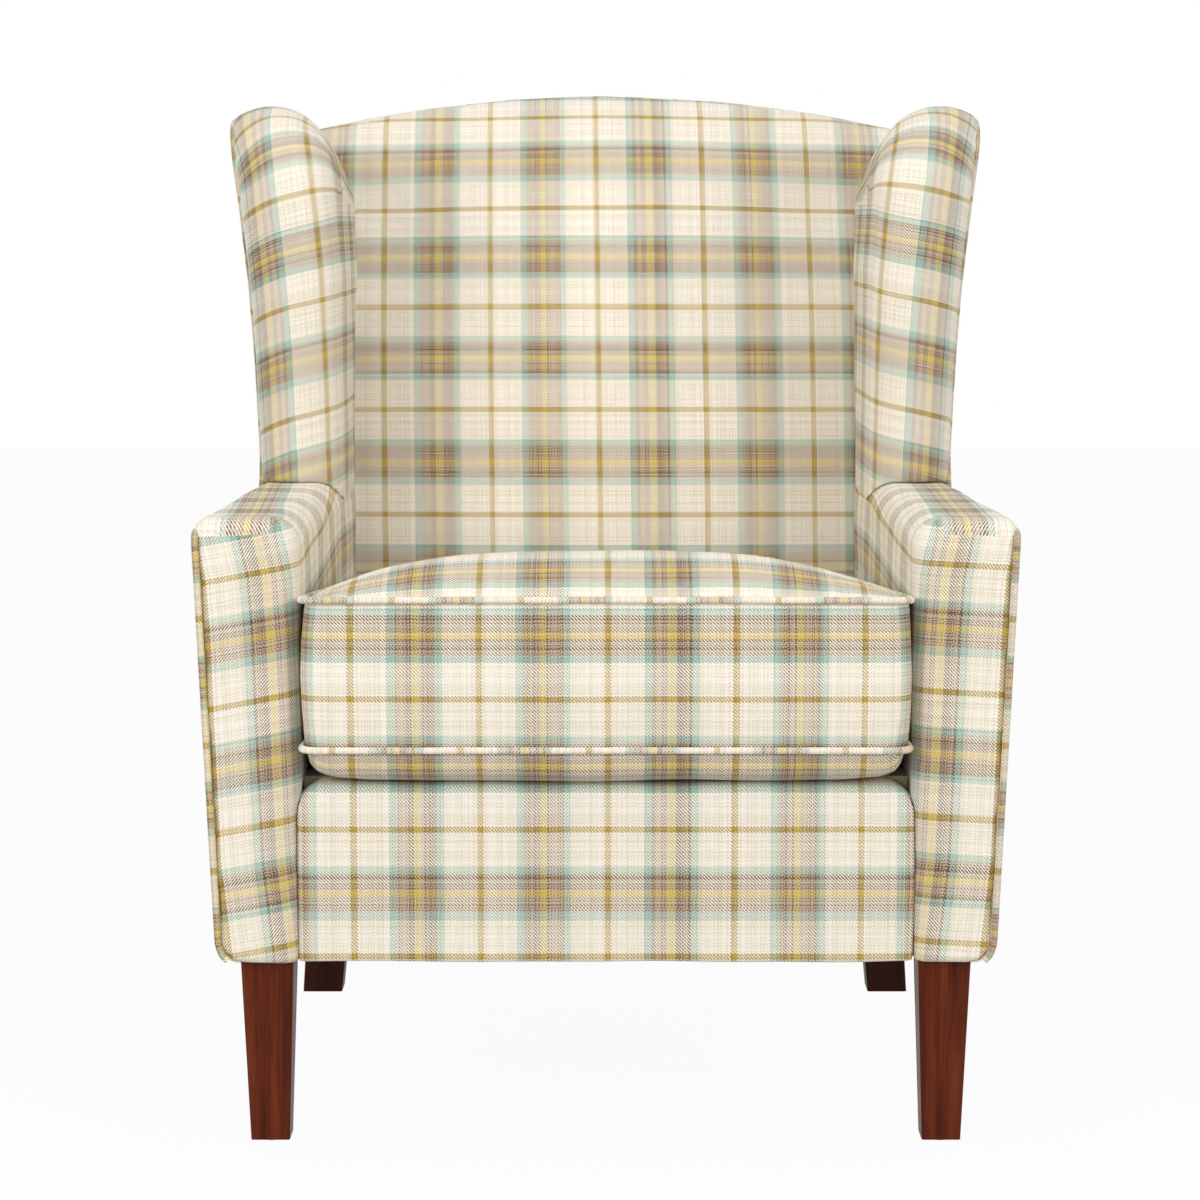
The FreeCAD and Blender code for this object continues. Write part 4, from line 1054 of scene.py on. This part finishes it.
def side_path(side):
    stand = WELT - COVER

    def on_side(y, z):
        return (side * (side_x(y, z) - corner_in(z) + stand), y, z)

    def welt_point(share):
        low, high = WING_AXIS_Y - WING_WELT, WING_CORNER - WING_SHED
        reach = low + (high - low) * share * share * (3.0 - 2.0 * share)
        turn = share * math.pi / 2.0
        return WING_AXIS_Y - reach * math.cos(turn), WING_AXIS_Z + reach * math.sin(turn)

    z_arm = ARM_TOP - ARM_SHOULDER + 0.0005
    top = WING_TOP - WING_SHED
    rear = float(back_outer(top - WING_TOP_SLOPE * 0.26)) - 0.006
    places = [(-stand, FRAME_BOTTOM + rise) for rise in (0.003, 0.008, BOTTOM_CORNER)]
    places += [(-stand, z_arm), (0.23, z_arm), (WING_WELT - 0.022, z_arm), (WING_WELT, z_arm + 0.04),
               (WING_WELT, FLARE_START + 0.02), (WING_WELT, 0.79)]
    places += [welt_point(i / 6.0) for i in range(7)]
    places.append((rear, top - WING_TOP_SLOPE * (rear - WING_AXIS_Y)))
    return rounded_path([on_side(*p) for p in places], 0.012)


cords = {}
for word, side in (("left", -1), ("right", 1)):
    cords[word + "_piping"] = piping(word + "_side_piping", side_path(side), start=0.03, across=0.045,
                                     seed=3 + side)

crest_half = side_x(float(back_outer(BACK_TOP)), BACK_TOP) - COVER - 0.0025 - 0.004
crest_x = np.linspace(-crest_half, crest_half, 49)
crest_z = BACK_TOP - 0.002 - crest_drop(crest_x)
crest_path = [(x, float(back_outer(z)) + WELT - COVER, z) for x, z in zip(crest_x, crest_z)]
cords["crest_piping"] = piping("crest_cord", crest_path, start=0.01, seed=7)


def cushion_path(height):
    out = 0.0008
    front, rear = CUSHION_HALF + out, 0.2610 + out     # drawn in at the rear, clear of the wings
    y0, y1 = CUSHION_FRONT - out, CUSHION_REAR + out
    z, z_rear = height(y0), height(y1)
    ear = 0.0022                                  # the cord stands proud at the corners
    return rounded_path([(-front - ear, y0 - ear, z), (0.0, y0, z), (front + ear, y0 - ear, z),
                         (rear + ear, y1 + ear, z_rear), (-rear - ear, y1 + ear, z_rear)], 0.020, True)


cords["cushion_top_piping"] = piping("cushion_top_cord", cushion_path(seam_high), True, 0.02, seed=11)
cords["cushion_bottom_piping"] = piping("cushion_bottom_cord", cushion_path(lambda y: CUSHION_LOW), True,
                                        0.075, seed=12)
print("piping:", {name: len(cord.data.polygons) for name, cord in cords.items()})

# %% [markdown]
# ## Deck and dust cover
# Under the cushion lies a plain platform cloth, stretched over felt and foam. Under the whole seat a
# black dust cover is stapled to the rails. Both are flat sheets of cloth.

# %% Sheets
def stretched_sheet(name, source, material, sag, seed):
    low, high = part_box(source)
    piece = frame_copy(name, (source,))
    work = bmesh.new()
    work.from_mesh(piece.data)
    divide(work, 0.03, 6)
    work.to_mesh(piece.data)
    work.free()
    co = points_of(piece.data)
    rng = np.random.default_rng(seed)
    across = (co[:, 0] - low.x) / (high.x - low.x)
    along = (co[:, 1] - low.y) / (high.y - low.y)
    middle = np.clip(16 * across * (1 - across) * along * (1 - along), 0.0, 1.0)
    wave = sum(np.sin((co[:, 0] * rng.normal() + co[:, 1] * rng.normal()) * 60 + rng.random() * 6)
               for _ in range(4))
    co[:, 2] += middle * (sag + 0.0003 * wave)
    move_points(piece.data, co)
    in_cloth(piece, material)
    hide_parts(source)
    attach(piece, "chair")
    return piece


deck = stretched_sheet("deck_cloth", "deck_lining", platform, 0.0, 4)
dust = stretched_sheet("dust_sheet", "dust_cover", dust_cloth, -0.0025, 5)
print("sheets ready")

# %% [markdown]
# ## Staples and zip teeth
# Both repeat along a line, so one small tree lays copies of a shape along a path: the staples that hold
# the dust cover, and the coil of the zip in the back of the cushion.

# %% Copies along a path
def copies_tree():
    w, given = new_tree("copies_along_path", (("Path", "Geometry"), ("Shape", "Object"), ("Spacing", "Float"),
                                              ("Turn", "Float"), ("Jitter", "Float"), ("Seed", "Int"),
                                              ("Finish", "Material")), "Row")
    spots = w.add("GeometryNodeCurveToPoints", {"Curve": given["Path"], "Length": given["Spacing"]},
                  mode="LENGTH")
    shape = w.add("GeometryNodeObjectInfo", {"Object": given["Shape"]})
    least = w.math("MULTIPLY", given["Jitter"], -1.0)
    wobble = w.add("FunctionNodeRandomValue", {2: least, 3: given["Jitter"], "Seed": given["Seed"]},
                   data_type="FLOAT")
    spin = w.add("ShaderNodeCombineXYZ", {2: w.math("ADD", given["Turn"], wobble.outputs[1])})
    laid = w.add("GeometryNodeInstanceOnPoints",
                 {"Points": spots.outputs[0], "Instance": shape.outputs["Geometry"],
                  "Rotation": spin.outputs[0]})
    return end_tree(w, laid.outputs[0], given["Finish"], "Row")


row_tree = copies_tree()


def row(name, paths, shape, spacing, turn, finish, jitter=0.0, seed=0):
    piece = grown(drawn(name, paths), row_tree, {"Shape": shape, "Spacing": spacing, "Turn": turn,
                                                 "Jitter": jitter, "Seed": seed, "Finish": finish})
    piece.data.shade_smooth()
    return piece


def bent_wire(name, points, radius):
    """A short wire through the points, as a small mesh to copy."""
    wire = drawn(name, [points])
    wire.data.bevel_depth = radius
    wire.data.bevel_resolution = 1
    wire.data.use_fill_caps = True
    return as_mesh(wire)


# %% Staples of the dust cover
dust_low, dust_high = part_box("dust_cover")
staple = bent_wire("staple_shape", [(-0.005, 0, 0.002), (-0.005, 0, -0.0004), (0.005, 0, -0.0004),
                                    (0.005, 0, 0.002)], 0.0004)
x0, x1 = dust_low.x + 0.024, dust_high.x - 0.024
y0, y1 = dust_low.y + 0.012, dust_high.y - 0.012
z0 = dust_low.z
across_ends = [((x0 + 0.03, y0, z0), (x1 - 0.03, y0, z0)), ((x0 + 0.05, y1, z0), (x1 - 0.05, y1, z0))]
along_ends = [((x0 + 0.006, y0 + 0.05, z0), (x0 + 0.022, y1 - 0.06, z0)),
              ((x1 - 0.006, y0 + 0.05, z0), (x1 - 0.022, y1 - 0.06, z0))]
front_rows = row("dust_staples_across", across_ends, staple, 0.045, 0.0, steel, 0.12, 3)
side_rows = row("dust_staples_along", along_ends, staple, 0.045, math.pi / 2, steel, 0.12, 4)
bpy.data.objects.remove(staple)
for rows in (front_rows, side_rows):
    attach(rows, "chair")
print("staples:", len(front_rows.data.vertices) + len(side_rows.data.vertices), "points")

# %% Teeth of the cushion's zip
chain_low, chain_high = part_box("zip_chain")
half = (chain_high.z - chain_low.z) / 2
depth = chain_high.y - chain_low.y
loop = [(0.0, 0.0, -half + 0.0003), (0.0006, depth * 0.62, -half * 0.5), (0.0, depth * 0.72, 0.0),
        (0.0006, depth * 0.62, half * 0.5), (0.0, 0.0, half - 0.0003)]
tooth = bent_wire("tooth_shape", loop, 0.00038)
zip_y, zip_z = chain_low.y + 0.0004, (chain_low.z + chain_high.z) / 2
zip_ends = [((chain_low.x + 0.001, zip_y, zip_z), (chain_high.x - 0.001, zip_y, zip_z))]
teeth = row("zip_teeth", zip_ends, tooth, 0.00135, 0.0, zip_plastic)
bpy.data.objects.remove(tooth)
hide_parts("zip_chain")
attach(teeth, "cushion")
print("zip teeth:", len(teeth.data.polygons), "faces")

# %% [markdown]
# ## Foam
# The covers are closed skins with wadding in them, so each block of foam is drawn in by 2.5 mm, to lie
# inside its skin wherever the cloth dips.

# %% Foam inside the skins
CORE_INSET = 0.0025


def foam_core(source, body):
    piece = frame_copy(source.replace("_foam", "_core").replace("_pad", "_core"), (source,))
    piece.data.update()
    move_points(piece.data, points_of(piece.data) - CORE_INSET * normals_of(piece.data))
    if body == "cushion":
        settle_cushion(piece, CORE_INSET)
    in_cloth(piece, foam)
    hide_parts(source)
    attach(piece, body)
    return piece


cores = [foam_core(name, "cushion" if name == "cushion_foam" else "chair")
         for name in ("back_foam", "border_pad", "cushion_foam", "left_arm_foam", "left_wing_foam",
                      "right_arm_foam", "right_wing_foam")]
print("foam cores:", len(cores))

# %% [markdown]
# ## Joining the pieces to the frame
# Every piece rides on the body that its node belongs to and stands in for that node.

# %% Ride and replace
for word in ("left", "right"):
    for pieces, place in ((arms, "arm"), (wings, "wing")):
        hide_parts(word + "_" + place + "_cover")
        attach(pieces[word], "chair")
for piece, source, fill in ((back, "inside_back_cover", 0.85), (border, "border_cover", 0.9)):
    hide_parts(source)
    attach(piece, "chair")
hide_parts("cushion_top_panel", "cushion_bottom_panel", "cushion_boxing")
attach(cushion, "cushion")
for source, piece in outside.items():
    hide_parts(source)
    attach(piece, "chair")
for source, cord in cords.items():
    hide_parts(source)
    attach(cord, "cushion" if source.startswith("cushion") else "chair")
print("pieces joined")

# %% [markdown]
# ## Floor, light and camera
# The photograph is a studio shot on white. The floor is pale and is mixed with plain white for the
# camera, so it stays white and still holds a soft shadow. Two large lamps in front and one above light
# the cloth evenly. The camera stands three metres in front of the chair with a long lens, a little above
# the arms, and looks slightly down.

# %% Floor and world
def seen(w):
    """1 for what the camera sees straight or mirrored, and 0 for light that bounces."""
    rays = w.add("ShaderNodeLightPath").outputs
    return w.math("MAXIMUM", rays["Is Camera Ray"], rays["Is Glossy Ray"])


white, w = new_material("white_floor")
lit = w.add("ShaderNodeBsdfDiffuse", {"Color": (0.6, 0.6, 0.6, 1.0)})
glow = w.add("ShaderNodeEmission", {"Color": (1.0, 1.0, 1.0, 1.0), "Strength": 1.0})
whiter = w.math("MULTIPLY", seen(w), 0.95)
mixed = w.add("ShaderNodeMixShader", {0: whiter, 1: lit.outputs[0], 2: glow.outputs[0]})
w.add("ShaderNodeOutputMaterial", {0: mixed.outputs[0]})
floor_mesh = bpy.data.meshes.new("floor")
floor_mesh.from_pydata([(-9, -9, 0), (9, -9, 0), (9, 9, 0), (-9, 9, 0)], [], [(0, 1, 2, 3)])
floor = in_scene("floor", floor_mesh)
floor.data.materials.append(white)

world = bpy.data.worlds.new("studio")
bpy.context.scene.world = world
world.use_nodes = True
world.node_tree.nodes.clear()
w = Wiring(world.node_tree)
strength = w.math("MULTIPLY_ADD", seen(w), 0.42, 0.58)
sky = w.add("ShaderNodeBackground", {"Color": (1.0, 1.0, 1.0, 1.0), "Strength": strength})
w.add("ShaderNodeOutputWorld", {0: sky.outputs[0]})


# %% Lamps
def lamp(name, place, target, size, power):
    light = bpy.data.lights.new(name, "AREA")
    light.shape = "RECTANGLE"
    light.size, light.size_y = size
    light.energy = power
    holder = bpy.data.objects.new(name, light)
    bpy.context.scene.collection.objects.link(holder)
    holder.location = place
    way = np.array(target) - np.array(place)
    flat = math.hypot(way[0], way[1])
    holder.rotation_euler = (math.atan2(flat, -way[2]), 0.0, math.atan2(way[1], way[0]) - math.pi / 2)


lamp("front_left", (-2.3, -2.9, 1.8), (0.0, 0.0, 0.5), (1.8, 1.8), 61.0)
lamp("front_right", (2.6, -2.6, 1.5), (0.0, 0.0, 0.5), (1.6, 1.6), 44.0)
lamp("overhead", (0.0, -0.9, 3.0), (0.0, 0.1, 0.6), (2.4, 1.6), 20.0)

# %% Camera
eye = bpy.data.cameras.new("camera")
eye.sensor_width = 36.0
eye.lens = 98.66
camera = bpy.data.objects.new("camera", eye)
bpy.context.scene.collection.objects.link(camera)
camera.location = (-0.0054, -3.3553, 0.8526)
camera.rotation_euler = (math.pi / 2 - 0.115, 0.0, 0.0)
bpy.context.scene.camera = camera
bpy.context.scene.view_settings.view_transform = "Standard"
